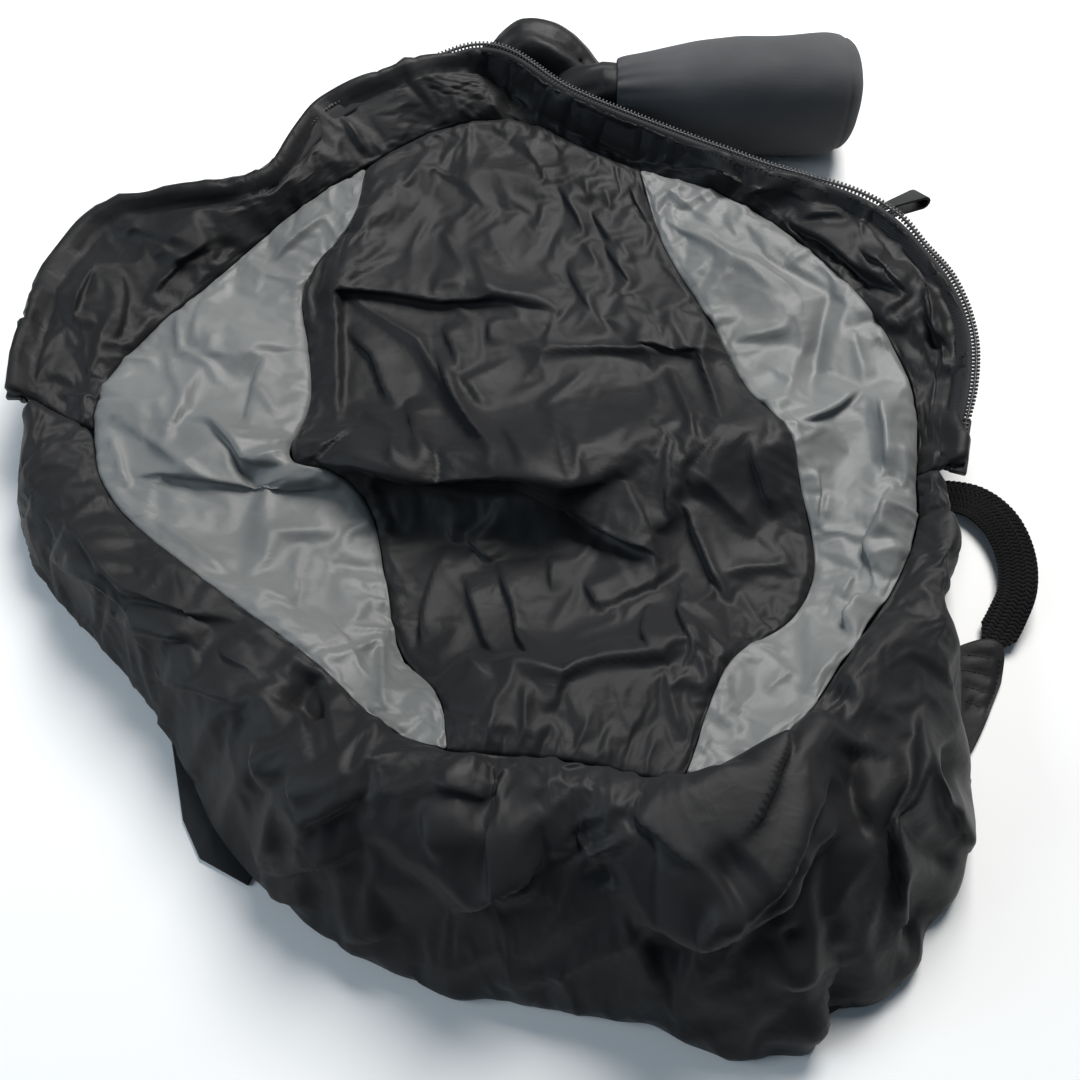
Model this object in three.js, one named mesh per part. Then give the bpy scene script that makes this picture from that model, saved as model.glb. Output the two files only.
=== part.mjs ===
// A packable nylon backpack lying on its back, emptied and unzipped, with its front panel sunk inside the
// rim of its gusset and its stuff pouch pulled out behind. Millimetres, +Z up, +Y towards the bag's top end
// and +X to the right of someone who stands at its bottom end.
import * as THREE from "three";

// Driving dimensions
const CLOTH = 2.5; // upright thickness of every cloth wall, which leaves 1 mm or more on the steep ones
const SEAM_GAP = 0.2; // each panel stops this far short of a seam line
const CROSS_CELLS = 16; // cells across the centre panel
const SIDE_CELLS = 28; // cells along each side of the front, from its top to its bottom
const GREY_CELLS = 6; // cells across a grey side panel
const TIP_START = 0.15; // share of the first cell that is left off at the pointed end of a grey panel
const GUSSET_CELLS = 5; // cells from the front seam to the zip
const FALL_CELLS = 5; // cells from the crest of the bottom gusset down to the floor
const RISE_CELLS = 3; // cells from the front seam up to that crest
const BULGE = 2.2; // power of the fall from crest to floor: a higher one is fuller
const ZIP_TAPE = { width: 8, front_rise: 4, back_rise: 1, thickness: 1.6 };
const ZIP_COIL = { radius: 1.5, sides: 6 };
const SLIDER = { length: 11, width: 9, height: 3, neck: 3, pull_length: 22, pull_width: 6, gap: 2.8 };
const HANG_LOOP = { section: 3.2, heading: 0.55, length: 44, opening: 5, width: 14, thickness: 1.6 };
const BEND_CELLS = 6; // cells round each end of the hang loop
const BACK_PANEL = { underside: 3.6, upper_inset: 5.6, lower_inset: 7, rings: 2 };
const BACK_CENTRE = new THREE.Vector3(-20, 60, 0);
const BACK_GUSSET = { cells: 3, underside: 4, inset: 5 };
const STRAP = { thickness: 3, step: 6 };
const WEBBING = { width: 20, thickness: 1.6, cells: 4 };
const POUCH_WALL = 3;
const POUCH_SIDES = 20;
const NECK_WALL = 2;
const NECK_GATHERS = { count: 7, depth: 0.07 };

// One row for each section of the gusset, counter-clockwise from the right-hand end of the zip. A section
// runs from the front seam over the crest to the seam with the back panel on the floor. Where the zip is
// open, the crest is the zip edge of the gusset's front half.
const COLUMNS = [
  "name", "seam_x", "seam_y", "seam_z", "crest_x", "crest_y", "crest_z", "floor_x", "floor_y", "floor_z",
];
const SECTIONS = [
  ["right_end", 204, 38, 37, 214, 38, 46, 222, 34, 3],
  ["right_mid", 212, 100, 38, 234, 108, 51, 222, 104, 0],
  ["right_shoulder", 186, 166, 38, 231, 155, 54, 216, 152, 0],
  ["right_corner", 154, 217, 38, 202, 213, 54, 190, 203, 0],
  ["right_top", 106, 256, 37, 134, 250, 52, 124, 240, 0],
  ["apex_right", 64, 274, 37, 70, 286, 51, 68, 270, 0],
  ["top_notch", 28, 294, 38, 12, 317, 55, 24, 300, 0],
  ["top", -14, 318, 39, -34, 350, 60, -14, 326, 0],
  ["top_left", -62, 311, 39, -88, 329, 58, -70, 312, 0],
  ["apex_left", -112, 276, 38, -133, 298, 55, -124, 280, 0],
  ["left_notch", -152, 242, 35, -164, 246, 49, -158, 230, 0],
  ["left_shoulder", -195, 188, 32, -220, 228, 48, -212, 206, 0],
  ["left_corner", -230, 142, 33, -263, 214, 46, -252, 188, 0],
  ["left_out", -246, 105, 35, -280, 168, 41, -274, 146, 0],
  ["left_end", -249, 75, 36, -284, 94, 38, -294, 90, 0],
  ["left_low", -235, 30, 38, -266, 22, 40, -288, 14, 0],
  ["left_side", -190, -14, 42, -215, -30, 42, -246, -34, 0],
  ["left_fall", -140, -55, 49, -158, -76, 50, -196, -88, 3],
  ["bottom_left", -100, -86, 57, -115, -112, 62, -148, -160, 3],
  ["bottom_turn", -72, -114, 65, -78, -138, 73, -98, -198, 0],
  ["tip_left", -42, -128, 69, -40, -146, 79, -40, -223, 0],
  ["bottom", 12, -134, 71, 14, -154, 83, 22, -231, 0],
  ["tip_right", 64, -142, 69, 72, -162, 80, 100, -248, 0],
  ["bottom_right", 110, -122, 62, 124, -140, 70, 164, -218, 0],
  ["right_fall", 150, -72, 50, 168, -88, 60, 208, -158, 3],
  ["right_side", 184, -26, 43, 203, -44, 52, 213, -84, 3],
  ["right_low", 199, 8, 40, 215, -6, 50, 224, -18, 3],
].map((row) => Object.fromEntries(COLUMNS.map((column, i) => [column, row[i]])));

// The zip edge of the gusset's back half, for the sections from one end of the zip to the other
const BACK_COLUMNS = ["x", "y", "z"];
const BACK_EDGE = [
  [227, 36, 28],
  [228, 106, 28],
  [224, 154, 28],
  [198, 208, 28],
  [132, 248, 24],
  [56, 306, 7],
  [34, 366, 24],
  [4, 386, 48],
  [-48, 374, 38],
  [-122, 300, 24],
  [-164, 242, 22],
  [-216, 218, 22],
  [-258, 200, 22],
  [-279, 156, 22],
  [-287, 93, 24],
].map((row) => Object.fromEntries(BACK_COLUMNS.map((column, i) => [column, row[i]])));

// The seams between the black centre and the grey sides, from their top ends down to their bottom ends
const INNER_COLUMNS = ["x", "y", "z"];
const asRows = (rows) => rows.map((row) => Object.fromEntries(INNER_COLUMNS.map((c, i) => [c, row[i]])));
const LEFT_SEAM = asRows([
  [-112, 276, 38],
  [-117, 227, 34],
  [-144, 180, 31],
  [-136, 135, 31],
  [-130, 90, 33],
  [-137, 45, 36],
  [-94, 26, 31],
  [-82, -14, 32],
  [-70, -66, 38],
  [-48, -95, 56],
  [-42, -128, 69],
]);
const RIGHT_SEAM = asRows([
  [64, 274, 37],
  [77, 210, 33],
  [103, 147, 31],
  [122, 88, 33],
  [137, 56, 38],
  [139, 26, 40],
  [144, -14, 36],
  [128, -48, 42],
  [92, -78, 54],
  [64, -142, 69],
]);

// One row for each main fold: a ridge, or with a negative height a furrow, from (x0, y0) to (x1, y1). The
// widths are those of its two slopes, on the left and on the right hand of that direction.
const FOLD_COLUMNS = ["name", "x0", "y0", "x1", "y1", "height", "left_width", "right_width"];
const FOLDS = [
  ["cross_ridge", -150, 46, 22, 24, 26, 24, 11],
  ["cross_ridge_right", -30, 26, 165, 66, 20, 34, 26],
  ["cross_hollow", -95, 14, 50, -2, -7, 14, 20],
  ["lower_ledge", -62, -98, 112, -58, 13, 9, 34],
  ["upper_fold", -135, 186, -10, 172, 8, 16, 9],
  ["upper_fold_right", -40, 160, 118, 138, 8, 20, 11],
  ["shoulder_roll", -130, 150, -95, 262, 9, 16, 20],
  ["top_fold", -105, 268, 60, 258, 6, 12, 9],
  ["left_grey_fold", -262, 100, -140, 42, 11, 17, 13],
  ["left_grey_upper", -225, 160, -150, 120, 7, 14, 14],
  ["left_grey_lower", -215, -2, -78, -84, 8, 12, 16],
  ["right_grey_flap", 138, 62, 214, 96, 9, 16, 10],
  ["right_grey_long", 200, 90, 168, -44, 7, 13, 13],
  ["right_grey_upper", 84, 214, 190, 120, 8, 14, 14],
  ["left_pleat_outer", -284, 196, -284, 40, 7, 12, 10],
  ["left_pleat_inner", -256, 204, -250, 100, 7, 9, 12],
  ["left_pleat_top", -225, 226, -190, 196, 6, 10, 10],
  ["right_long_fold", 92, 262, 226, 120, 8, 9, 9],
  ["right_notch", 226, 182, 176, 186, -6, 9, 9],
  ["bottom_furrow", -18, -128, -28, -196, -9, 9, 9],
  ["bottom_star_left", -28, -196, -104, -160, -7, 10, 12],
  ["bottom_star_right", -24, -190, 30, -172, -8, 10, 12],
  ["bottom_long_fold", 196, -40, 34, -208, 9, 12, 15],
  ["bottom_second_fold", 204, -92, 112, -214, 9, 11, 11],
  ["bottom_left_fold", -122, -92, -150, -140, 7, 10, 12],
  ["left_side_fold", -262, -8, -150, -76, 7, 10, 12],
].map((row) => Object.fromEntries(FOLD_COLUMNS.map((column, i) => [column, row[i]])));
const FOLD_END = 0.22; // share of a fold's length over which each end dies away

// Shoulder straps, under the back panel: middle line and half width at each station, and the webbing that
// runs on from the strap's buckle to its tab. A tilt of 0 lies flat and 90 stands on edge.
const STRAP_COLUMNS = ["x", "y", "half_width"];
const asStations = (rows) => rows.map((row) => Object.fromEntries(STRAP_COLUMNS.map((c, i) => [c, row[i]])));
const STRAP_LEFT = asStations([
  [-48, 268, 27],
  [-66, 190, 30],
  [-92, 105, 29],
  [-108, 40, 21],
  [-112, 12, 13],
]);
const STRAP_RIGHT = asStations([
  [36, 268, 27],
  [62, 200, 30],
  [112, 128, 29],
  [152, 70, 21],
  [172, 52, 13],
]);
const WEBBING_COLUMNS = ["x", "y", "z", "tilt"];
const asRoute = (rows) => rows.map((row) => Object.fromEntries(WEBBING_COLUMNS.map((c, i) => [c, row[i]])));
const WEBBING_LEFT = asRoute([
  [-123, -58, 1.2, 0],
  [-142, -98, 1.2, 0],
  [-152, -114, 1.2, 0],
]);
const WEBBING_RIGHT = asRoute([
  [214, 46, 1.2, 0],
  [230, 47, 2.2, 3],
  [246, 40, 6.6, 14],
  [257, 24, 9.6, 26],
  [261, 3, 10.2, 30],
  [258, -17, 9.2, 26],
  [249, -34, 6.4, 10],
  [240.5, -47.5, 3.9, 1],
]);
const BUCKLE = { width: 30, length: 22, thickness: 3, bar: 4, slot: 4.5, narrowing: 0.6, gap: 0.4 };
const TAB_THICKNESS = 2;
const TAB_UNDERSIDE = 0.2;
const TAB_LEFT = [[-190, -92], [-176, -140], [-165, -159], [-140, -172], [-128, -140], [-154, -116]];
const TAB_RIGHT = [[206, -53], [233, -42], [248, -45], [241, -68], [223, -101], [208, -119], [192, -104]];

// The pouch and its gathered neck: distance along the axis, half width and half height, and their middle
const RING_COLUMNS = ["along", "half_width", "half_height", "middle_y", "middle_z"];
const asRings = (rows) => rows.map((row) => Object.fromEntries(RING_COLUMNS.map((c, i) => [c, row[i]])));
const POUCH_START = { x: 50, y: 343 };
const POUCH_TURN = -0.02; // the axis turns this far from +X, in radians
const POUCH_SQUARE = 2.4; // power of the rounded section: 2 is an ellipse
const POUCH_RINGS = asRings([
  [0, 21, 21, 0, 39],
  [20, 26, 27, 0, 38],
  [55, 31, 33, 0, 37],
  [100, 35, 37, 0, 38],
  [138, 36, 38.5, 0, 39.5],
  [152, 35.5, 38, 0, 39.5],
  [158, 32, 34.5, 0, 39.5],
  [161, 24, 26, 0, 39.5],
]);
const NECK_RINGS = asRings([
  [-0.4, 20.5, 20.5, 0, 39],
  [-9, 16, 16, 1, 38],
  [-19, 14, 11, 2, 36],
  [-29, 13, 9, 2, 33],
]);

const asObject = ({ x, y, z }) => new THREE.Vector3(x, y, z);
const column = (kind) => (row) => new THREE.Vector3(row[`${kind}_x`], row[`${kind}_y`], row[`${kind}_z`]);
const closedCurve = (kind) => new THREE.CatmullRomCurve3(SECTIONS.map(column(kind)), true);
const seamCurve = closedCurve("seam");
const crestCurve = closedCurve("crest");
const floorCurve = closedCurve("floor");
const backCurve = new THREE.CatmullRomCurve3(BACK_EDGE.map(asObject));
const at = (curve, section) => curve.getPoint((section % SECTIONS.length) / SECTIONS.length);
const sectionNamed = (name) => SECTIONS.findIndex((row) => row.name === name);

// The places round the seam where every panel has its vertices, so that neighbours share them
const spread = (from, to, cells) =>
  Array.from({ length: cells + 1 }, (_, i) => THREE.MathUtils.lerp(from, to, i / cells));
const TOP_ARC = spread(sectionNamed("apex_right"), sectionNamed("apex_left"), CROSS_CELLS);
const LEFT_ARC = spread(sectionNamed("apex_left"), sectionNamed("tip_left"), SIDE_CELLS);
const BOTTOM_ARC = spread(sectionNamed("tip_left"), sectionNamed("tip_right"), CROSS_CELLS);
const RIGHT_ARC = spread(sectionNamed("apex_right") + SECTIONS.length, sectionNamed("tip_right"), SIDE_CELLS);
const RING = [
  ...TOP_ARC.slice(0, -1),
  ...LEFT_ARC.slice(0, -1),
  ...BOTTOM_ARC.slice(0, -1),
  ...RIGHT_ARC.slice(1).reverse(),
];
const nearestPlace = (section) => {
  const away = RING.map((place) => Math.abs(place - section));
  return away.indexOf(Math.min(...away));
};
const ZIP_START = nearestPlace(sectionNamed("right_end") + SECTIONS.length);
const ZIP_STOP = nearestPlace(sectionNamed("left_end"));
const ringFrom = (start, stop) => {
  const places = [];
  for (let i = start; ; i = (i + 1) % RING.length) {
    places.push(RING[i]);
    if (i === stop) return places;
  }
};

// Height that the folds add at a point of the plan
const smooth = (t) => THREE.MathUtils.smoothstep(t, 0, 1);
function foldHeight({ x, y }) {
  let height = 0;
  for (const fold of FOLDS) {
    const along = new THREE.Vector2(fold.x1 - fold.x0, fold.y1 - fold.y0);
    const offset = new THREE.Vector2(x - fold.x0, y - fold.y0);
    const share = offset.dot(along) / along.lengthSq();
    if (share <= 0 || share >= 1) continue;
    const side = along.cross(offset) / along.length();
    const width = side > 0 ? fold.left_width : fold.right_width;
    const ends = smooth(share / FOLD_END) * smooth((1 - share) / FOLD_END);
    height += fold.height * ends * Math.exp(-((side / width) ** 2));
  }
  return height;
}
const folded = (point, share = 1) => point.clone().setZ(point.z + share * foldHeight(point));

// A closed solid from faces that share vertices
function solid(points, triangles) {
  const geometry = new THREE.BufferGeometry().setFromPoints(points);
  geometry.setIndex(triangles.flat());
  geometry.computeVertexNormals();
  return geometry;
}

// A sheet of cloth: rows of points on its upper side, given the upright thickness of its wall
function sheet(rows, thickness = CLOTH) {
  const lines = rows.length;
  const across = rows[0].length;
  const upper = rows.flat();
  const lower = upper.map((point) => point.clone().setZ(point.z - thickness));
  const index = (i, j) => i * across + j;
  const half = Math.floor((lines - 1) / 2);
  const onward = new THREE.Vector3().subVectors(rows[half + 1][0], rows[half][0]);
  const sideways = new THREE.Vector3().subVectors(rows[half][across - 1], rows[half][0]);
  const turned = onward.cross(sideways).z < 0;
  const quad = (a, b, c, d) => (turned ? [[a, c, b], [a, d, c]] : [[a, b, c], [a, c, d]]);
  const triangles = [];
  const below = upper.length;
  for (let i = 0; i + 1 < lines; i++)
    for (let j = 0; j + 1 < across; j++) {
      const [a, b, c, d] = [index(i, j), index(i + 1, j), index(i + 1, j + 1), index(i, j + 1)];
      triangles.push(...quad(a, b, c, d), ...quad(a + below, d + below, c + below, b + below));
    }
  const border = [
    ...Array.from({ length: across - 1 }, (_, j) => index(0, j)),
    ...Array.from({ length: lines - 1 }, (_, i) => index(i, across - 1)),
    ...Array.from({ length: across - 1 }, (_, j) => index(lines - 1, across - 1 - j)),
    ...Array.from({ length: lines - 1 }, (_, i) => index(lines - 1 - i, 0)),
  ];
  border.forEach((a, i) => {
    const b = border[(i + 1) % border.length];
    triangles.push(...quad(a, b, b + below, a + below));
  });
  return solid([...upper, ...lower], triangles);
}

// A closed solid through rings of points: joined end to end, or with each end closed by a fan
function throughRings(rings, endless = false) {
  const sides = rings[0].length;
  const points = rings.flat();
  const triangles = [];
  const last = endless ? rings.length : rings.length - 1;
  for (let i = 0; i < last; i++)
    for (let j = 0; j < sides; j++) {
      const next = (j + 1) % sides;
      const [a, b] = [i * sides + j, i * sides + next];
      const after = ((i + 1) % rings.length) * sides;
      triangles.push([a, b, after + next], [a, after + next, after + j]);
    }
  if (!endless)
    [0, rings.length - 1].forEach((ring, isLast) => {
      const middle = new THREE.Vector3();
      rings[ring].forEach((point) => middle.addScaledVector(point, 1 / sides));
      points.push(middle);
      for (let j = 0; j < sides; j++) {
        const [a, b] = [ring * sides + j, ring * sides + ((j + 1) % sides)];
        triangles.push(isLast ? [a, b, points.length - 1] : [b, a, points.length - 1]);
      }
    });
  return solid(points, triangles);
}

const step = (from, to, distance) => from.clone().addScaledVector(to.clone().sub(from).normalize(), distance);

// Both ends of a row of points drawn in by the seam gap
function drawnIn(row) {
  const made = row.map((point) => point.clone());
  made[0] = step(row[0], row[1], SEAM_GAP);
  made[row.length - 1] = step(row[row.length - 1], row[row.length - 2], SEAM_GAP);
  return made;
}
function drawnInRows(rows) {
  const turned = rows[0].map((_, j) => drawnIn(rows.map((row) => row[j])));
  return rows.map((_, i) => drawnIn(turned.map((line) => line[i])));
}

const innerCurve = (rows) => new THREE.CatmullRomCurve3(rows.map(asObject));
const leftSeam = innerCurve(LEFT_SEAM).getSpacedPoints(SIDE_CELLS);
const rightSeam = innerCurve(RIGHT_SEAM).getSpacedPoints(SIDE_CELLS);

// The black centre panel: a patch between its two inner seams and the top and bottom of the front seam
function centrePanel() {
  const top = TOP_ARC.map((place) => at(seamCurve, place)).reverse();
  const bottom = BOTTOM_ARC.map((place) => at(seamCurve, place));
  const rows = leftSeam.map((left, i) => {
    const v = i / SIDE_CELLS;
    return top.map((upper, j) => {
      const u = j / CROSS_CELLS;
      const ruledAcross = left.clone().lerp(rightSeam[i], u);
      const ruledDown = upper.clone().lerp(bottom[j], v);
      const upperCorners = top[0].clone().lerp(top[CROSS_CELLS], u);
      const lowerCorners = bottom[0].clone().lerp(bottom[CROSS_CELLS], u);
      return ruledAcross.add(ruledDown).sub(upperCorners.lerp(lowerCorners, v));
    });
  });
  return sheet(drawnInRows(rows).map((row) => row.map((point) => folded(point))));
}

// A grey side panel: a crescent between an inner seam and the side of the front seam, cut off at its two tips
function greyPanel(arc, inner) {
  const across = spread(0, 1, GREY_CELLS);
  const lines = arc.map((place, i) => across.map((u) => at(seamCurve, place).lerp(inner[i], u)));
  const between = (a, b, t) => a.map((point, j) => point.clone().lerp(b[j], t));
  lines[0] = between(lines[0], lines[1], TIP_START);
  lines[SIDE_CELLS] = between(lines[SIDE_CELLS], lines[SIDE_CELLS - 1], TIP_START);
  return sheet(lines.map(drawnIn).map((row) => row.map((point) => folded(point))));
}

// A section's point on the way from the front seam, at 0, to the crest, at 1
function risePoint(place, t) {
  const seam = at(seamCurve, place);
  const crest = at(crestCurve, place);
  const rise = Math.sin((t * Math.PI) / 2);
  return folded(seam.clone().lerp(crest, t).setZ(THREE.MathUtils.lerp(seam.z, crest.z, rise)));
}

// A section's point on the way from the crest, at 0, to the floor, at 1
function fallPoint(place, t) {
  const crest = at(crestCurve, place);
  const floor = at(floorCurve, place);
  const foot = Math.max(floor.z, 0) + CLOTH;
  const point = crest.clone().lerp(floor, t).setZ(THREE.MathUtils.lerp(crest.z, foot, t ** BULGE));
  return folded(point, 1 - t ** 4);
}

function frontGusset() {
  const rise = spread(0, 1, GUSSET_CELLS);
  return sheet(drawnInRows(zipPlaces.map((place) => rise.map((t) => risePoint(place, t)))));
}

function bottomGusset() {
  const rise = spread(0, 1, RISE_CELLS);
  const fall = spread(0, 1, FALL_CELLS).slice(1);
  const rows = ringFrom(ZIP_STOP, ZIP_START).map((place) => [
    ...rise.map((t) => risePoint(place, t)),
    ...fall.map((t) => fallPoint(place, t)),
  ]);
  return sheet(drawnInRows(rows));
}

// A point on the floor, set in from the bag's outline there
function backFoot(place, inset) {
  return step(at(floorCurve, place).setZ(0), BACK_CENTRE, inset);
}

// The zip edge of the back half, and a point on the way to it from the floor
function backPoint(place, t) {
  const share = (place % SECTIONS.length) / (BACK_EDGE.length - 1);
  const edge = backCurve.getPoint(Math.min(share, 1));
  return backFoot(place, BACK_GUSSET.inset).setZ(BACK_GUSSET.underside + CLOTH).lerp(edge, t);
}

function backGusset() {
  return sheet(backPlaces.map((place) => spread(0, 1, BACK_GUSSET.cells).map((t) => backPoint(place, t))));
}

// The tape of one half of the zip, sewn to a gusset's edge, and the coil along the tape
const zipPlaces = ringFrom(ZIP_START, ZIP_STOP);
const frontEdge = zipPlaces.map((place) => risePoint(place, 1));
const backPlaces = zipPlaces.slice(1, -1);
const backEdge = backPlaces.map((place) => backPoint(place, 1));
function tapeLine(edge, rise, distance) {
  return edge.map((point, i) => {
    const before = edge[Math.max(i - 1, 0)];
    const after = edge[Math.min(i + 1, edge.length - 1)];
    const out = new THREE.Vector3(after.y - before.y, before.x - after.x, 0).normalize();
    return point.clone().addScaledVector(out, distance).setZ(point.z + (rise * distance) / ZIP_TAPE.width);
  });
}
function zipTape(edge, rise) {
  const near = tapeLine(edge, rise, SEAM_GAP);
  const far = tapeLine(edge, rise, ZIP_TAPE.width);
  return sheet(near.map((point, i) => [point, far[i]]), ZIP_TAPE.thickness);
}
function zipCoil(edge, rise) {
  const { radius, sides } = ZIP_COIL;
  const lines = spread(0, 2 * Math.PI, sides).slice(0, -1).map((angle) => {
    const distance = ZIP_TAPE.width + SEAM_GAP + radius * (1 + Math.cos(angle));
    const lift = -radius * Math.sin(angle) - ZIP_TAPE.thickness / 2;
    return tapeLine(edge, rise, distance).map((point) => point.setZ(point.z + lift));
  });
  return throughRings(edge.map((_, i) => lines.map((line) => line[i])));
}

// A zip slider with its pull, flat under the end of the front half's coil
function zipSlider(end, next) {
  const { length, width, height, neck, pull_length, pull_width, gap } = SLIDER;
  const stations = [
    [0, width],
    [length, width],
    [length, neck],
    [length + neck, neck],
    [length + neck, pull_width],
    [length + neck + pull_length, pull_width],
  ];
  const half = (side) => stations.map(([along, across]) => new THREE.Vector2(along, (side * across) / 2));
  const shape = new THREE.Shape([...half(-1), ...half(1).reverse()]);
  const way = next.clone().sub(end);
  const geometry = new THREE.ExtrudeGeometry(shape, { depth: height, bevelEnabled: false });
  geometry.rotateZ(Math.atan2(way.y, way.x));
  return geometry.translate(end.x, end.y, end.z - ZIP_COIL.radius - gap - height);
}
const coilLine = tapeLine(frontEdge, ZIP_TAPE.front_rise, ZIP_TAPE.width + SEAM_GAP + ZIP_COIL.radius);

// The hang loop: a ribbon on edge, doubled back on itself, sewn beside the back half of the zip
function hangLoop() {
  const { section, heading, length, opening, width, thickness } = HANG_LOOP;
  const outer = opening / 2 + thickness;
  const bend = (middle, from, radius) =>
    spread(from, from + Math.PI, BEND_CELLS).map(
      (angle) => new THREE.Vector2(middle + radius * Math.cos(angle), radius * Math.sin(angle)),
    );
  const stadium = (radius) => [
    ...bend(length - outer, -Math.PI / 2, radius),
    ...bend(outer, Math.PI / 2, radius),
  ];
  const shape = new THREE.Shape(stadium(outer));
  shape.holes.push(new THREE.Path(stadium(opening / 2)));
  const outside = tapeLine(backEdge, ZIP_TAPE.back_rise, ZIP_TAPE.width + 2 * ZIP_COIL.radius + 3 * SEAM_GAP);
  const away = backPlaces.map((place) => Math.abs((place % SECTIONS.length) - section));
  const start = outside[away.indexOf(Math.min(...away))];
  const geometry = new THREE.ExtrudeGeometry(shape, { depth: width, bevelEnabled: false });
  return geometry.rotateZ(heading).translate(start.x, start.y, start.z - width / 2);
}

// The back panel lies flat on the straps, inside the seam with the gusset
function backPanel() {
  const height = BACK_PANEL.underside + CLOTH;
  const centre = BACK_CENTRE.clone().setZ(height);
  const outline = RING.map((place) => {
    const inset = backPlaces.includes(place) ? BACK_PANEL.upper_inset : BACK_PANEL.lower_inset;
    return backFoot(place, inset).setZ(height);
  });
  const upper = [centre];
  const triangles = [];
  const sides = outline.length;
  for (let ring = 1; ring <= BACK_PANEL.rings; ring++)
    outline.forEach((point) => upper.push(centre.clone().lerp(point, ring / BACK_PANEL.rings)));
  const lower = upper.map((point) => point.clone().setZ(point.z - CLOTH));
  const below = upper.length;
  const facing = (a, b, c) => triangles.push([a, b, c], [a + below, c + below, b + below]);
  outline.forEach((_, j) => {
    const next = (j + 1) % sides;
    facing(0, 1 + j, 1 + next);
    for (let ring = 1; ring < BACK_PANEL.rings; ring++) {
      const [near, far] = [1 + (ring - 1) * sides, 1 + ring * sides];
      facing(near + j, far + j, far + next);
      facing(near + j, far + next, near + next);
    }
    const rim = 1 + (BACK_PANEL.rings - 1) * sides;
    triangles.push([rim + j, rim + j + below, rim + next + below], [rim + j, rim + next + below, rim + next]);
  });
  return solid([...upper, ...lower], triangles);
}

// The middle line of a strap, with its half width as the height, and a point so far beyond its lower end
const strapLine = (stations) =>
  new THREE.CatmullRomCurve3(stations.map(({ x, y, half_width }) => new THREE.Vector3(x, y, half_width)));
function beyond(stations, distance) {
  const line = strapLine(stations);
  return line.getPoint(1).setZ(0).addScaledVector(line.getTangent(1).setZ(0).normalize(), distance);
}

// A flat shoulder strap, rounded at its upper end
function shoulderStrap(stations) {
  const line = strapLine(stations);
  const count = Math.ceil(line.getLength() / STRAP.step / 3);
  const rows = spread(0, 1, count).map((t) => {
    const { x, y, z: half } = line.getPoint(t);
    const { x: dx, y: dy } = line.getTangent(t);
    const way = new THREE.Vector3(-dy, dx, 0).normalize();
    const middle = new THREE.Vector3(x, y, STRAP.thickness);
    const crown = Math.sqrt(Math.min(1, t / 0.06 + 0.35));
    return [-1, 0, 1].map((side) => middle.clone().addScaledVector(way, side * half * Math.min(1, crown)));
  });
  return sheet(rows, STRAP.thickness);
}

// Webbing: a ribbon from a strap's buckle along its route, turned about the route by its tilt
function webbing(strap, rows) {
  const start = BUCKLE.length + 2 * BUCKLE.gap;
  const straight = [start, start + WEBBING.width / 2].map((distance) => {
    const { x, y } = beyond(strap, distance);
    return { x, y, z: rows[0].z, tilt: 0 };
  });
  const route = [...straight, ...rows];
  const line = new THREE.CatmullRomCurve3(route.map(asObject));
  const tilts = new THREE.CatmullRomCurve3(route.map(({ tilt }, i) => new THREE.Vector3(i, tilt, 0)));
  const count = WEBBING.cells * (route.length - 1);
  const rings = spread(0, 1, count).map((t) => {
    const middle = line.getPoint(t);
    const way = line.getTangent(t);
    const tilt = THREE.MathUtils.degToRad(tilts.getPoint(t).y);
    const across = new THREE.Vector3(0, 0, 1).cross(way).normalize().applyAxisAngle(way, -tilt);
    const through = way.clone().cross(across).normalize();
    const corner = (a, b) => {
      const point = middle.clone().addScaledVector(across, (a * WEBBING.width) / 2);
      return point.addScaledVector(through, (b * WEBBING.thickness) / 2);
    };
    return [corner(-1, -1), corner(1, -1), corner(1, 1), corner(-1, 1)];
  });
  return throughRings(rings);
}

// The flat buckle between a strap and its webbing: a frame with a bar across it
function buckle(strap) {
  const { width, length, thickness, bar, slot, narrowing, gap } = BUCKLE;
  const middle = beyond(strap, length / 2 + gap);
  const end = beyond(strap, 0);
  const turn = Math.atan2(middle.y - end.y, middle.x - end.x);
  const rectangle = (x, y, half_x, half_y) =>
    [[-1, -1], [1, -1], [1, 1], [-1, 1]].map(([a, b]) => new THREE.Vector2(x + a * half_x, y + b * half_y));
  const frame = new THREE.Shape(rectangle(0, 0, length / 2, width / 2));
  [-1, 1].forEach((side) => {
    const half = width / 2 - bar - (side > 0 ? narrowing : 0);
    const hole = rectangle((side * (bar + slot)) / 2, 0, slot / 2, half);
    frame.holes.push(new THREE.Path(hole));
  });
  const geometry = new THREE.ExtrudeGeometry(frame, { depth: thickness, bevelEnabled: false });
  return geometry.rotateZ(turn).translate(middle.x, middle.y, 0.2);
}

function tab(outline) {
  const shape = new THREE.Shape(outline.map(([x, y]) => new THREE.Vector2(x, y)));
  const geometry = new THREE.ExtrudeGeometry(shape, { depth: TAB_THICKNESS, bevelEnabled: false });
  return geometry.translate(0, 0, TAB_UNDERSIDE);
}

// A ring of the pouch or its neck, drawn in by a wall, its edge waved by any gathers
function pouchRing({ along, half_width, half_height, middle_y, middle_z }, wall, gathers) {
  const ring = [];
  for (let i = 0; i < POUCH_SIDES; i++) {
    const angle = (2 * Math.PI * i) / POUCH_SIDES;
    const wave = gathers ? 1 + gathers.depth * Math.cos(gathers.count * angle) : 1;
    const rounded = (value) => Math.sign(value) * Math.abs(value) ** (2 / POUCH_SQUARE);
    const y = rounded(Math.cos(angle)) * (half_width - wall) * wave;
    const z = rounded(Math.sin(angle)) * (half_height - wall) * wave;
    ring.push(new THREE.Vector3(along, y + middle_y, z + middle_z));
  }
  return ring;
}
const placePouch = (geometry) => geometry.rotateZ(POUCH_TURN).translate(POUCH_START.x, POUCH_START.y, 0);

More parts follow.
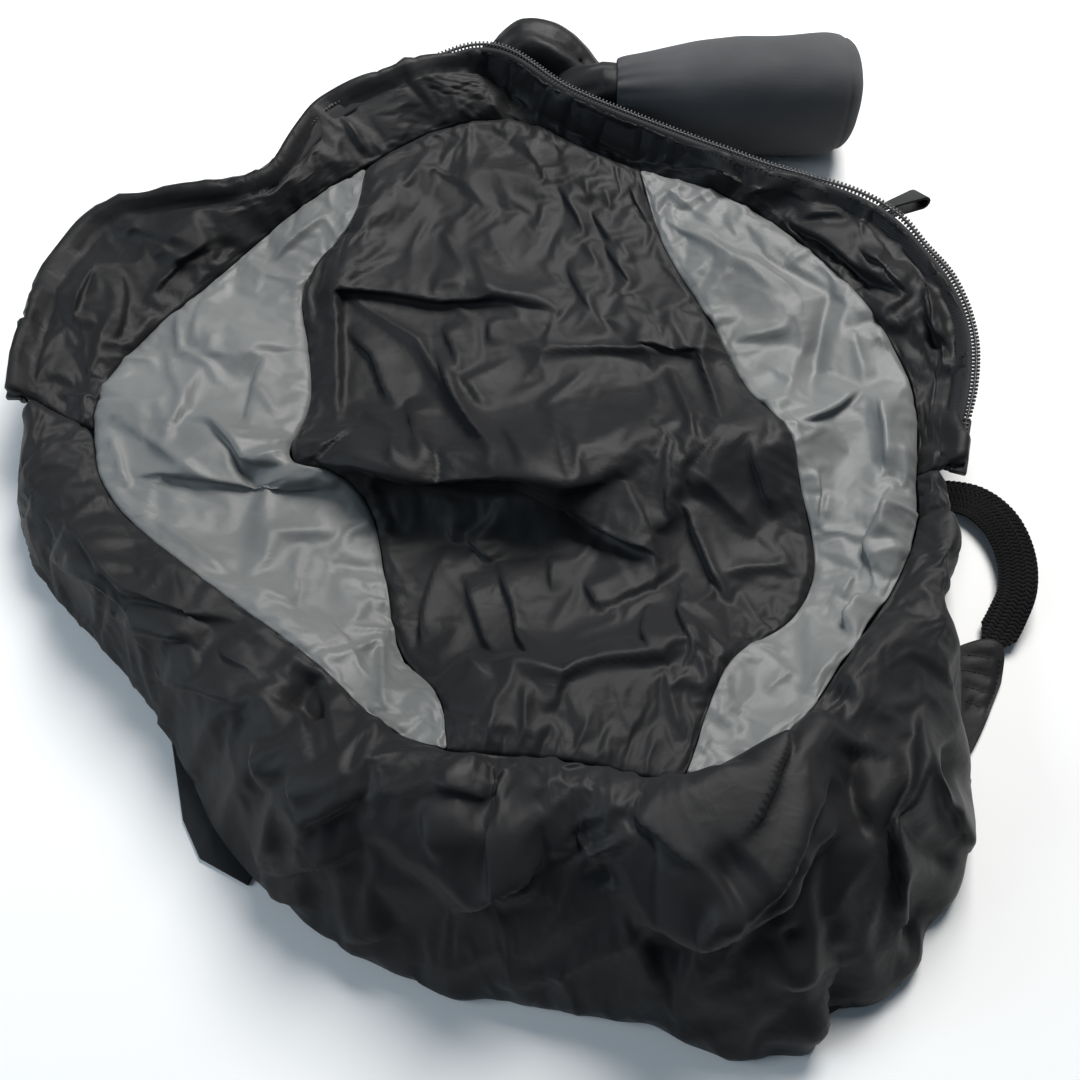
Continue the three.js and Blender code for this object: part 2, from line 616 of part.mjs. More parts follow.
function pouch() {
  const outer = POUCH_RINGS.map((row) => pouchRing(row, 0));
  const inner = POUCH_RINGS.map((row, i) =>
    pouchRing({ ...row, along: i ? row.along - POUCH_WALL : row.along }, POUCH_WALL),
  ).reverse();
  return placePouch(throughRings([...inner, ...outer]));
}

function pouchNeck() {
  const gathers = (i) => (i ? NECK_GATHERS : null);
  const outer = NECK_RINGS.map((row, i) => pouchRing(row, 0, gathers(i))).reverse();
  const inner = NECK_RINGS.map((row, i) => pouchRing(row, NECK_WALL, gathers(i)));
  return placePouch(throughRings([...outer, ...inner], true));
}

// Materials
const finish = (color, roughness) => new THREE.MeshStandardMaterial({ color, roughness, metalness: 0 });
const BLACK_NYLON = finish(0x1c1c20, 0.5);
const GREY_NYLON = finish(0x7d8488, 0.42);
const BLACK_NEOPRENE = finish(0x1b1b1d, 0.9);
const BLACK_WEBBING = finish(0x111113, 0.85);
const BLACK_PLASTIC = finish(0x151517, 0.45);

const bag = new THREE.Group();
function add(name, geometry, material) {
  const mesh = new THREE.Mesh(geometry, material.clone());
  mesh.name = name;
  bag.add(mesh);
}
add("centre_panel", centrePanel(), BLACK_NYLON);
add("grey_panel_left", greyPanel(LEFT_ARC, leftSeam), GREY_NYLON);
add("grey_panel_right", greyPanel(RIGHT_ARC, rightSeam), GREY_NYLON);
add("front_gusset", frontGusset(), BLACK_NYLON);
add("bottom_gusset", bottomGusset(), BLACK_NYLON);
add("back_panel", backPanel(), BLACK_NYLON);
add("back_gusset", backGusset(), BLACK_NYLON);
add("zip_tape_front", zipTape(frontEdge, ZIP_TAPE.front_rise), BLACK_WEBBING);
add("zip_tape_back", zipTape(backEdge, ZIP_TAPE.back_rise), BLACK_WEBBING);
add("zip_coil_front", zipCoil(frontEdge, ZIP_TAPE.front_rise), BLACK_PLASTIC);
add("zip_coil_back", zipCoil(backEdge, ZIP_TAPE.back_rise), BLACK_PLASTIC);
add("zip_slider_right", zipSlider(coilLine.at(0), coilLine.at(2)), BLACK_PLASTIC);
add("zip_slider_left", zipSlider(coilLine.at(-1), coilLine.at(-3)), BLACK_PLASTIC);
add("hang_loop", hangLoop(), BLACK_NYLON);
add("pouch", pouch(), BLACK_NEOPRENE);
add("pouch_neck", pouchNeck(), BLACK_NYLON);
[
  ["left", STRAP_LEFT, WEBBING_LEFT, TAB_LEFT],
  ["right", STRAP_RIGHT, WEBBING_RIGHT, TAB_RIGHT],
].forEach(([side, strap, route, patch]) => {
  add(`shoulder_strap_${side}`, shoulderStrap(strap), BLACK_NYLON);
  add(`strap_buckle_${side}`, buckle(strap), BLACK_PLASTIC);
  add(`strap_webbing_${side}`, webbing(strap, route), BLACK_WEBBING);
  add(`strap_tab_${side}`, tab(patch), BLACK_NYLON);
});

// The origin is under the middle of the bag, on the floor
const box = new THREE.Box3().setFromObject(bag);
const middle = box.getCenter(new THREE.Vector3());
bag.position.set(-middle.x, -middle.y, -box.min.z);
const backpack = new THREE.Group().add(bag);
export default backpack;
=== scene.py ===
# %% [markdown]
# # A packable backpack, lying open
# The bag is light nylon, sewn from a black centre, two grey crescents and black side walls. It lies on its
# back, emptied, with its zip open, so the front has sunk into folds inside the rim. Its stuff pouch lies
# behind it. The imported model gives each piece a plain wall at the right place, and this script makes the
# cloth, the zip and the webbing from those walls.

import math
import random

import bmesh
import bpy
import numpy as np
from mathutils import Matrix, Vector, noise
from mathutils.bvhtree import BVHTree
from mathutils.kdtree import KDTree


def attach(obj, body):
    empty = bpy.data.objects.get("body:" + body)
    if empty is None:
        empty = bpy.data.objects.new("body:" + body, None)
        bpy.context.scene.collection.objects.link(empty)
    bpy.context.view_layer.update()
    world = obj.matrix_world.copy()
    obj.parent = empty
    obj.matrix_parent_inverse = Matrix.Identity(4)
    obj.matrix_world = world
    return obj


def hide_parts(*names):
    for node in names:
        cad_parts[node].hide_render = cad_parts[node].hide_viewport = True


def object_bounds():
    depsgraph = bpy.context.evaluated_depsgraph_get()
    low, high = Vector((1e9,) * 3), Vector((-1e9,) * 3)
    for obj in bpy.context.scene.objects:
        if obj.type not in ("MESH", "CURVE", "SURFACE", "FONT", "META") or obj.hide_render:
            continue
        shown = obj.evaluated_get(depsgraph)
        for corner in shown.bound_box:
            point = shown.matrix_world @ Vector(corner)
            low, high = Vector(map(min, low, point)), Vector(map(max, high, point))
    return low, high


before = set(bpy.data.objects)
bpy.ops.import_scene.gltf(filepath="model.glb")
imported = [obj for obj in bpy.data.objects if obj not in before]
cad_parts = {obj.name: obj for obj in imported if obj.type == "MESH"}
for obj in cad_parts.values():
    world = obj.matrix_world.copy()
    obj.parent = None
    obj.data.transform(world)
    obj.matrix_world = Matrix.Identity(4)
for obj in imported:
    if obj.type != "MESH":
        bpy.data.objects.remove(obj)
cad_box = [list(corner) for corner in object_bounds()]
MM = 0.001
print("nodes:", len(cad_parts), "box:", cad_box)

# %% [markdown]
# ## Camera
# The photograph looks down on the bag from its bottom end. A camera could be turned by eye, but with its
# aim, distance and angle as named values, a point of the picture can also be followed back to the cloth,
# which is how the creases are placed below.

# %% Camera
PHOTO_SIZE = 1080
AIM = Vector((0.0137, -0.0747, 0.035))
DISTANCE = 0.625
ELEVATION = math.radians(60)
VIEW_ANGLE = math.radians(49)

camera_data = bpy.data.cameras.new("photo_camera")
camera_data.angle = VIEW_ANGLE
camera = bpy.data.objects.new("photo_camera", camera_data)
camera.location = AIM + DISTANCE * Vector((0, -math.cos(ELEVATION), math.sin(ELEVATION)))
camera.rotation_euler = (math.pi / 2 - ELEVATION, 0, 0)
bpy.context.collection.objects.link(camera)
bpy.context.scene.camera = camera


def pixel_ray(across, down):
    """The line of sight through a point of the picture, as a start and a direction."""
    half = math.tan(VIEW_ANGLE / 2)
    seen = Vector((half * (2 * across / PHOTO_SIZE - 1), half * (1 - 2 * down / PHOTO_SIZE), -1))
    return camera.location.copy(), camera.rotation_euler.to_matrix() @ seen.normalized()


print("camera at", [round(x, 4) for x in camera.location])

# %% [markdown]
# ## Floor and light
# The bag lies on a plain white table. The light is a broad lamp beyond the bag's top end and a little to
# the right, about fifty degrees up, so each fold is bright on its far side and dark on the near one. A weak
# wide lamp from the left and a pale surround keep the dark cloth readable.

# %% Floor and light
FLOOR_SIZE, FLOOR_GREY, FLOOR_ROUGHNESS = 8.0, 0.86, 0.9
KEY_PLACE, KEY_SIZE, KEY_POWER = Vector((0.55, 1.35, 1.75)), 1.1, 78
FILL_PLACE, FILL_SIZE, FILL_POWER = Vector((-1.7, -0.3, 1.1)), 1.0, 17
WARM, COOL = (1.0, 0.98, 0.95), (0.8, 0.91, 1.0)
SKY_COLOUR, SKY_STRENGTH = (0.64, 0.83, 1.0), 0.14


def new_piece(name, bm):
    """An object at the origin with the bmesh's shape, which is then freed."""
    mesh = bpy.data.meshes.new(name)
    bm.to_mesh(mesh)
    bm.free()
    made = bpy.data.objects.new(name, mesh)
    bpy.context.collection.objects.link(made)
    return made


def new_material(name):
    """A material, its node tree and its shader."""
    material = bpy.data.materials.new(name)
    material.use_nodes = True
    return material, material.node_tree, material.node_tree.nodes["Principled BSDF"]


def lamp(name, place, size, power, colour):
    """A square lamp that looks at the bag."""
    data = bpy.data.lights.new(name, "AREA")
    data.size = size
    data.energy = power
    data.color = colour
    made = bpy.data.objects.new(name, data)
    made.location = place
    made.rotation_euler = (AIM - place).to_track_quat("-Z", "Y").to_euler()
    bpy.context.collection.objects.link(made)


floor_mesh = bmesh.new()
bmesh.ops.create_grid(floor_mesh, x_segments=1, y_segments=1, size=FLOOR_SIZE / 2)
floor = new_piece("floor", floor_mesh)
floor_paint, _, floor_shader = new_material("floor_paint")
floor_shader.inputs["Base Color"].default_value = (FLOOR_GREY, FLOOR_GREY, FLOOR_GREY, 1)
floor_shader.inputs["Roughness"].default_value = FLOOR_ROUGHNESS
floor.data.materials.append(floor_paint)

lamp("key", KEY_PLACE, KEY_SIZE, KEY_POWER, WARM)
lamp("fill", FILL_PLACE, FILL_SIZE, FILL_POWER, COOL)

surround = bpy.data.worlds.new("surround")
surround.use_nodes = True
sky = surround.node_tree.nodes["Background"]
sky.inputs["Color"].default_value = (*SKY_COLOUR, 1)
sky.inputs["Strength"].default_value = SKY_STRENGTH
bpy.context.scene.world = surround
bpy.context.scene.view_settings.view_transform = "Standard"
print("lights:", [light.name for light in bpy.data.lights])

# %% [markdown]
# ## Finishes shared by the cloths
# Every cloth here is woven, creased and a little uneven in colour. Each of these effects is one shader node
# group with named sockets, so a material only chooses its own scale. The weave follows the flat pattern of
# a piece, kept in a UV map named flat that is measured in metres, so threads bend with the cloth.

# %% Node helpers
def feed(tree, socket, value):
    """Links another socket to this one, or sets its value."""
    if isinstance(value, bpy.types.NodeSocket):
        tree.links.new(value, socket)
    else:
        socket.default_value = value


def add_node(tree, kind, settings=None, **sockets):
    """A node with its settings, and its sockets set to values or linked to other sockets."""
    made = tree.nodes.new(kind)
    for name, value in (settings or {}).items():
        setattr(made, name, value)
    for name, value in sockets.items():
        feed(tree, made.inputs[name.replace("_", " ")], value)
    return made


def calculate(tree, operation, *values):
    """A Math node's result."""
    made = tree.nodes.new("ShaderNodeMath")
    made.operation = operation
    for socket, value in zip(made.inputs, values):
        feed(tree, socket, value)
    return made.outputs[0]


def new_group(name, inputs, outputs):
    """An empty shader group with float inputs and outputs, and its two end nodes."""
    group = bpy.data.node_groups.new(name, "ShaderNodeTree")
    for socket, value in inputs.items():
        group.interface.new_socket(socket, in_out="INPUT", socket_type="NodeSocketFloat").default_value = value
    for socket in outputs:
        group.interface.new_socket(socket, in_out="OUTPUT", socket_type="NodeSocketFloat")
    return group, group.nodes.new("NodeGroupInput"), group.nodes.new("NodeGroupOutput")

# %% Weave, crumple and mottle groups
# How much a thread adds to the twill's ribs, how far the crumples wander, and how wide their crests are.
THREAD_SHARE = 0.35
WANDER = (0.03, 0.03, 0.03)
CREST_WIDTH = 0.35


def wave(tree, place, pitch):
    """A wave from 0 to 1 that repeats every pitch along place."""
    turns = calculate(tree, "DIVIDE", place, pitch)
    angle = calculate(tree, "MULTIPLY", turns, 2 * math.pi)
    half = calculate(tree, "MULTIPLY", calculate(tree, "SINE", angle), 0.5)
    return calculate(tree, "ADD", half, 0.5)


twill, start, end = new_group("twill_weave", {"Pitch": 0.0006}, ["Height"])
pattern = add_node(twill, "ShaderNodeUVMap", {"uv_map": "flat"})
axes = add_node(twill, "ShaderNodeSeparateXYZ", Vector=pattern.outputs["UV"]).outputs
diagonal = calculate(twill, "ADD", axes["X"], axes["Y"])
rib = wave(twill, diagonal, start.outputs["Pitch"])
thread = wave(twill, axes["X"], start.outputs["Pitch"])
feed(twill, end.inputs["Height"], calculate(twill, "MULTIPLY_ADD", thread, THREAD_SHARE, rib))

crumple, start, end = new_group("crumple", {"Scale": 60.0, "Detail": 3.0}, ["Height"])
place = add_node(crumple, "ShaderNodeTexCoord").outputs["Object"]
bent = add_node(crumple, "ShaderNodeTexNoise", Vector=place, Scale=18.0, Detail=2.0)
mixed = add_node(crumple, "ShaderNodeVectorMath", {"operation": "MULTIPLY_ADD"})
for socket, value in zip(mixed.inputs, (bent.outputs["Color"], WANDER, place)):
    feed(crumple, socket, value)
size = start.outputs["Scale"]
cells = add_node(
    crumple, "ShaderNodeTexVoronoi", {"feature": "DISTANCE_TO_EDGE"}, Vector=mixed.outputs[0], Scale=size
)
soft = add_node(
    crumple, "ShaderNodeTexNoise", Vector=mixed.outputs[0], Scale=size, Detail=start.outputs["Detail"]
)
valley = calculate(crumple, "MINIMUM", cells.outputs["Distance"], CREST_WIDTH)
crest = calculate(crumple, "SUBTRACT", 1.0, valley)
feed(crumple, end.inputs["Height"], calculate(crumple, "ADD", crest, soft.outputs["Fac"]))

mottle, start, end = new_group("mottle", {"Scale": 9.0, "Low": 0.8, "High": 1.2}, ["Value"])
place = add_node(mottle, "ShaderNodeTexCoord").outputs["Object"]
cloud = add_node(mottle, "ShaderNodeTexNoise", Vector=place, Scale=start.outputs["Scale"], Detail=5.0)
spread = add_node(
    mottle, "ShaderNodeMapRange", Value=cloud.outputs["Fac"], From_Min=0.3, From_Max=0.7,
    To_Min=start.outputs["Low"], To_Max=start.outputs["High"],
)
feed(mottle, end.inputs["Value"], spread.outputs["Result"])
print("groups:", [group.name for group in bpy.data.node_groups])

# %% [markdown]
# ## Nylon
# The black and grey cloths are the same light nylon twill, dyed two ways. It has a soft gloss along its
# folds and dulls in the flats. The colour drifts a little, and a bump adds the twill and the smallest
# crumples, which are too fine for the mesh.

# %% Nylon
COLOUR_DRIFT = {"Scale": 11.0, "Low": 0.78, "High": 1.2}
GLOSS_SCALE = 26.0
DULLER, GLOSSIER = 0.08, 0.06
SHEEN, SHEEN_ROUGHNESS = 0.04, 0.4


def cloth_material(name, colour, roughness, gloss_level, pitch, weave_depth, crumple_scale, crumple_depth):
    """A woven cloth with its colour, gloss, weave and crumple."""
    material, tree, shader = new_material(name)
    shade = add_node(tree, "ShaderNodeGroup", {"node_tree": mottle}, **COLOUR_DRIFT)
    tint = add_node(
        tree, "ShaderNodeMix", {"data_type": "RGBA", "blend_type": "MULTIPLY"},
        Factor=1.0, A=(*colour, 1), B=shade.outputs["Value"],
    )
    feed(tree, shader.inputs["Base Color"], tint.outputs["Result"])
    gloss = add_node(
        tree, "ShaderNodeGroup", {"node_tree": mottle},
        Scale=GLOSS_SCALE, Low=roughness - GLOSSIER, High=roughness + DULLER,
    )
    feed(tree, shader.inputs["Roughness"], gloss.outputs["Value"])
    small = add_node(tree, "ShaderNodeGroup", {"node_tree": crumple}, Scale=crumple_scale)
    folds = add_node(tree, "ShaderNodeBump", Strength=1.0, Distance=crumple_depth, Height=small.outputs["Height"])
    weave = add_node(tree, "ShaderNodeGroup", {"node_tree": twill}, Pitch=pitch)
    threads = add_node(
        tree, "ShaderNodeBump", Strength=1.0, Distance=weave_depth,
        Height=weave.outputs["Height"], Normal=folds.outputs["Normal"],
    )
    feed(tree, shader.inputs["Normal"], threads.outputs["Normal"])
    shader.inputs["Specular IOR Level"].default_value = gloss_level
    shader.inputs["Sheen Weight"].default_value = SHEEN
    shader.inputs["Sheen Roughness"].default_value = SHEEN_ROUGHNESS
    return material


# Colour, roughness, gloss, pitch and depth of the weave, scale and depth of the crumples. Lengths are in metres.
BLACK_NYLON = cloth_material("black_nylon", (0.0145, 0.0147, 0.0158), 0.45, 0.13, 0.0006, 0.00003, 95, 0.00025)
GREY_NYLON = cloth_material("grey_nylon", (0.138, 0.142, 0.142), 0.4, 0.28, 0.0006, 0.00003, 95, 0.0002)
ZIP_TAPE = cloth_material("zip_tape", (0.022, 0.022, 0.024), 0.7, 0.2, 0.0012, 0.0001, 120, 0.0001)
POUCH_CLOTH = cloth_material("pouch_cloth", (0.068, 0.069, 0.073), 0.85, 0.15, 0.0008, 0.00008, 40, 0.0004)
STRAP_CLOTH = cloth_material("strap_cloth", (0.018, 0.018, 0.02), 0.8, 0.2, 0.001, 0.0001, 60, 0.0002)
WEBBING = cloth_material("webbing", (0.006, 0.006, 0.007), 0.75, 0.12, 0.0012, 0.0002, 120, 0.0001)
print("cloths:", [material.name for material in bpy.data.materials])

# %% [markdown]
# ## Hard finishes
# The zip's coil and the buckles are moulded plastic, and the sliders are painted metal. One function makes
# all three, because only colour, gloss and metal differ.

# %% Hard finishes
WEAR_SCALE = 300.0
WORN, POLISHED = 0.12, 0.08
GRAIN_DEPTH = 0.00002


def hard_material(name, colour, roughness, metallic):
    """A moulded or painted finish with faint wear in its gloss."""
    material, tree, shader = new_material(name)
    shader.inputs["Base Color"].default_value = (*colour, 1)
    shader.inputs["Metallic"].default_value = metallic
    gloss = add_node(
        tree, "ShaderNodeGroup", {"node_tree": mottle},
        Scale=WEAR_SCALE, Low=roughness - POLISHED, High=roughness + WORN,
    )
    feed(tree, shader.inputs["Roughness"], gloss.outputs["Value"])
    grain = add_node(tree, "ShaderNodeBump", Strength=1.0, Distance=GRAIN_DEPTH, Height=gloss.outputs["Value"])
    feed(tree, shader.inputs["Normal"], grain.outputs["Normal"])
    return material


# Colour, roughness and metal.
COIL_PLASTIC = hard_material("zip_coil", (0.03, 0.03, 0.032), 0.4, 0.0)
SLIDER_METAL = hard_material("slider_metal", (0.03, 0.03, 0.03), 0.35, 0.6)
BUCKLE_PLASTIC = hard_material("buckle_plastic", (0.018, 0.018, 0.019), 0.45, 0.0)

# %% [markdown]
# ## From a wall to a skin
# A panel's packed wall is a coarse closed solid. Its upper side is the cloth that shows, so a copy of the
# wall keeps only the faces that look up. The skin is unwrapped while it is still coarse, which gives the
# flat shape the panel was cut to, and is then rounded by a subdivision surface into cells of a few
# millimetres.

# %% Skins
UPWARD = 0.02
MERGE_DISTANCE = 0.01 * MM


def open_mesh(piece):
    """A bmesh of a piece's mesh."""
    bm = bmesh.new()
    bm.from_mesh(piece.data)
    return bm


def close_mesh(bm, piece):
    """Puts a bmesh back into its piece."""
    bm.to_mesh(piece.data)
    bm.free()


def node_copy(node):
    """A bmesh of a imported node, with its loose triangles merged."""
    bm = open_mesh(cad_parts[node])
    bmesh.ops.remove_doubles(bm, verts=bm.verts, dist=MERGE_DISTANCE)
    return bm


def to_quads(bm, bend=math.pi):
    """Joins triangles in pairs, where they meet at less than a bend."""
    bmesh.ops.join_triangles(bm, faces=bm.faces, angle_face_threshold=bend, angle_shape_threshold=math.pi)


def bake_modifiers(piece):
    """The piece's mesh with its modifiers applied."""
    bpy.context.view_layer.update()
    view = bpy.context.evaluated_depsgraph_get()
    mesh = bpy.data.meshes.new_from_object(piece.evaluated_get(view))
    piece.modifiers.clear()
    piece.data = mesh


def refine(piece, levels):
    """Rounds the piece into smaller cells."""
    rounding = piece.modifiers.new("rounding", "SUBSURF")
    rounding.levels = rounding.render_levels = levels
    rounding.boundary_smooth = "PRESERVE_CORNERS"
    bake_modifiers(piece)


def read_places(piece):
    """Each vertex's place."""
    places = np.empty(len(piece.data.vertices) * 3)
    piece.data.vertices.foreach_get("co", places)
    return places.reshape(-1, 3)


def write_places(piece, places):
    """Moves the vertices to new places."""
    piece.data.vertices.foreach_set("co", places.ravel())
    piece.data.update()


def read_flat(piece):
    """Each vertex's place in the flat pattern."""
    mesh = piece.data
    loops = np.empty(len(mesh.loops), int)
    mesh.loops.foreach_get("vertex_index", loops)
    pairs = np.empty(len(mesh.loops) * 2)
    mesh.uv_layers["flat"].data.foreach_get("uv", pairs)
    flat = np.empty((len(mesh.vertices), 2))
    flat[loops] = pairs.reshape(-1, 2)
    return flat


def unwrap(piece):
    """Lays the piece out flat in metres, turned as it lies on the floor."""
    piece.data.uv_layers.new(name="flat")
    bpy.ops.object.select_all(action="DESELECT")
    piece.select_set(True)
    bpy.context.view_layer.objects.active = piece
    bpy.ops.object.mode_set(mode="EDIT")
    bpy.ops.mesh.select_all(action="SELECT")
    bpy.ops.uv.unwrap(method="ANGLE_BASED", margin=0)
    bpy.ops.object.mode_set(mode="OBJECT")
    flat = read_flat(piece)
    floor_plan = read_places(piece)[:, :2]
    flat_turn = (flat - flat.mean(0)) @ np.array([1, 1j])
    plan_turn = (floor_plan - floor_plan.mean(0)) @ np.array([1, 1j])
    turn = np.vdot(flat_turn, plan_turn)
    bm = open_mesh(piece)
    layer = bm.loops.layers.uv["flat"]
    real_area = sum(face.calc_area() for face in bm.faces)
    flat_area = 0
    for face in bm.faces:
        corners = [loop[layer].uv for loop in face.loops]
        flat_area += sum(a.cross(b) for a, b in zip(corners, corners[1:] + corners[:1])) / 2
    scale = math.sqrt(real_area / abs(flat_area))
    turned = (flat_turn * turn / abs(turn) * scale) + floor_plan.mean(0) @ np.array([1, 1j])
    for face in bm.faces:
        for loop in face.loops:
            point = turned[loop.vert.index]
            loop[layer].uv = (point.real, point.imag)
    close_mesh(bm, piece)
    return real_area


def panel_skin(node, name, levels):
    """The upper side of a cloth wall, unwrapped and refined."""
    bm = node_copy(node)
    bmesh.ops.delete(bm, geom=[f for f in bm.faces if f.normal.z < UPWARD], context="FACES")
    to_quads(bm)
    skin = new_piece(name, bm)
    area = unwrap(skin)
    refine(skin, levels)
    print(name, "cells:", len(skin.data.polygons), "area:", round(area, 4))
    return skin


# %% [markdown]
# ## Creases
# Thin nylon holds sharp creases. Each one is a narrow ridge with steep flanks, pressed along the skin's own
# normal and measured on the flat pattern, so that it also runs true over the steep side walls. Where the
# photograph shows a crease, its points in the picture are followed back to the cloth. A tuck is a crease that
# has fallen over: it rises slowly on the left hand of its line, drops at once and hides a dark gap. Smaller
# creases are drawn at random from a fixed seed, and the seams pucker the edges.

# %% Reading the skin
def search_tree(points):
    """A tree that finds the nearest of many points."""
    tree = KDTree(len(points))
    for index, point in enumerate(points):
        tree.insert(point, index)
    tree.balance()
    return tree


def skin_facts(skin):
    """The skin's places, flat pattern, normals, and each vertex's distance to the nearest seam."""
    places = read_places(skin)
    normals = np.array([vertex.normal for vertex in skin.data.vertices])
    flat = read_flat(skin)
    bm = open_mesh(skin)
    seam = [v for v in bm.verts if v.is_boundary]
    inward = {}
    for v in seam:
        inner = [edge.other_vert(v).index for edge in v.link_edges if not edge.is_boundary]
        if inner:
            inward[v.index] = flat[inner].mean(0) - flat[v.index]
    tree = search_tree([v.co for v in seam])
    distance = np.array([tree.find(v.co)[2] for v in bm.verts])
    sight = BVHTree.FromBMesh(bm)
    bm.free()
    return {"places": places, "normals": normals, "flat": flat, "seam": distance, "inward": inward, "sight": sight}


def pixel_to_flat(skin, facts, across, down):
    """The flat place of the cloth seen at a point of the picture."""
    start, direction = pixel_ray(across, down)
    hit, _, face, _ = facts["sight"].ray_cast(start, direction)
    if hit is None:
        middle = start + direction * (AIM - start).length
        hit, _, face, _ = facts["sight"].find_nearest(middle)
    corners = list(skin.data.polygons[face].vertices)
    near = min(corners, key=lambda corner: (skin.data.vertices[corner].co - hit).length)
    return facts["flat"][near]


# %% Creases
CREST_ROUNDING = 0.3
CREASE_TAPER = 0.3
SHORTEST_RUN = 0.1 * MM
SEAM_FADE, SEAM_SHARE = 5 * MM, 0.2
TUCK_EDGE = 1.3 * MM
TUCK_LEAN = 0.8
# Random creases: signs to draw from, how far they bow, their flanks, and how puckers turn and start.
CREASE_SIGNS, CREASE_BOW, CREASE_FLANKS = (1, 1, -0.6), 0.12, (0.5, 1.6)
PUCKER_SIGNS, PUCKER_BOW, PUCKER_TURN, PUCKER_START = (1, -0.8), 0.08, 22, 0.35
CRUMPLE_BEND, BEND_SCALE, BEND_SEED = 0.6, 0.7, 50


def ridge(flat, points, width, skew):
    """How far a crease along a line of points lifts the cloth, from 0 to 1 at its crest."""
    nearest = np.full(len(flat), np.inf)
    side = np.ones(len(flat))
    along = np.zeros(len(flat))
    passed = 0.0
    for start, end in zip(points, points[1:]):
        run = end - start
        length = max(np.hypot(*run), SHORTEST_RUN)
        share = np.clip((flat - start) @ run / length**2, 0, 1)
        off = flat - start - share[:, None] * run
        distance = np.hypot(off[:, 0], off[:, 1])
        flank = np.where(run[0] * off[:, 1] > run[1] * off[:, 0], width, width * skew)
        closer = distance < nearest
        nearest = np.where(closer, distance, nearest)
        side = np.where(closer, flank, side)
        along = np.where(closer, passed + share * length, along)
        passed += length
    fade = np.clip(np.minimum(along, passed - along) / (CREASE_TAPER * passed), 0, 1)
    body = np.exp(CREST_ROUNDING - np.sqrt((nearest / side) ** 2 + CREST_ROUNDING**2))
    return body * fade * fade * (3 - 2 * fade)


def seam_fade(facts):
    """The share of a crease that is left near a seam."""
    return np.clip(facts["seam"] / SEAM_FADE, SEAM_SHARE, 1)


def press_creases(skin, facts, rows):
    """The lift of traced creases: points of the picture, height, width and the near flank's share of it."""
    lift = np.zeros(len(facts["flat"]))
    for points, height, width, skew in rows:
        line = np.array([pixel_to_flat(skin, facts, *point) for point in points])
        lift += height * MM * ridge(facts["flat"], line, width * MM, skew)
    return lift


def soften(skin, values, passes):
    """Values at the skin's vertices, evened out with those of their neighbours."""
    pairs = np.empty(len(skin.data.edges) * 2, int)
    skin.data.edges.foreach_get("vertices", pairs)
    pairs = np.concatenate([pairs.reshape(-1, 2), pairs.reshape(-1, 2)[:, ::-1]])
    count = np.bincount(pairs[:, 0], minlength=len(values))[:, None]
    for _ in range(passes):
        around = np.zeros_like(values)
        np.add.at(around, pairs[:, 0], values[pairs[:, 1]])
        values = (values + around / count) / 2
    return values


def press_tucks(skin, facts, rows, passes):
    """How tucks move the cloth: points of the picture, height and width.

    The cloth rises slowly to a tuck's edge on the left hand of its line, then drops at once and leans over.
    """
    moves = np.zeros((len(facts["flat"]), 3))
    normals = facts["normals"]
    for points, height, width in rows:
        line = np.array([pixel_to_flat(skin, facts, *point) for point in points])
        run = line[-1] - line[0]
        line += TUCK_LEAN * height * MM * np.array([-run[1], run[0]]) / np.hypot(*run)
        rise = height * MM * ridge(facts["flat"], line, width * MM, TUCK_EDGE / (width * MM))
        run = Vector(points[-1]) - Vector(points[0])
        over = np.array([-run.y, -run.x, 0])
        over = over - normals * (normals @ over)[:, None]
        over /= np.linalg.norm(over, axis=1)[:, None]
        moves += rise[:, None] * (normals + TUCK_LEAN * over)
    return soften(skin, moves * seam_fade(facts)[:, None], passes)


def bowed(start, end, bow):
    """Three points of a line that bends aside at its middle."""
    run = end - start
    return np.array([start, (start + end) / 2 + bow * np.array([-run[1], run[0]]), end])


def scatter_creases(facts, seed, count, heading, scatter, length, height, width):
    """The lift of small creases drawn at random, most of them along one heading."""
    draw = random.Random(seed)
    lift = np.zeros(len(facts["flat"]))
    for _ in range(count):
        middle = facts["flat"][draw.randrange(len(facts["flat"]))]
        angle = math.radians(draw.gauss(heading, scatter))
        half = draw.uniform(*length) * MM / 2 * np.array([math.cos(angle), math.sin(angle)])
        tall = draw.uniform(*height) * MM * draw.choice(CREASE_SIGNS)
        line = bowed(middle - half, middle + half, draw.uniform(-CREASE_BOW, CREASE_BOW))
        lift += tall * ridge(facts["flat"], line, draw.uniform(*width) * MM, draw.uniform(*CREASE_FLANKS))
    return lift * seam_fade(facts)


def sharp_crumple(facts, seed, size, height, heading, stretch):
    """The lift of crumples with sharp crests about a size apart in mm, longer along one heading."""
    turn = math.radians(heading)
    along = facts["flat"] @ np.array([math.cos(turn), math.sin(turn)]) / (size * stretch * MM)
    across = facts["flat"] @ np.array([-math.sin(turn), math.cos(turn)]) / (size * MM)
    lift = []
    for a, b in zip(along, across):
        bend = CRUMPLE_BEND * noise.noise(Vector((a * BEND_SCALE, b * BEND_SCALE, seed + BEND_SEED)))
        lift.append(0.5 - abs(noise.noise(Vector((a + bend, b - bend, seed)))))
    return height * MM * np.array(lift) * seam_fade(facts)


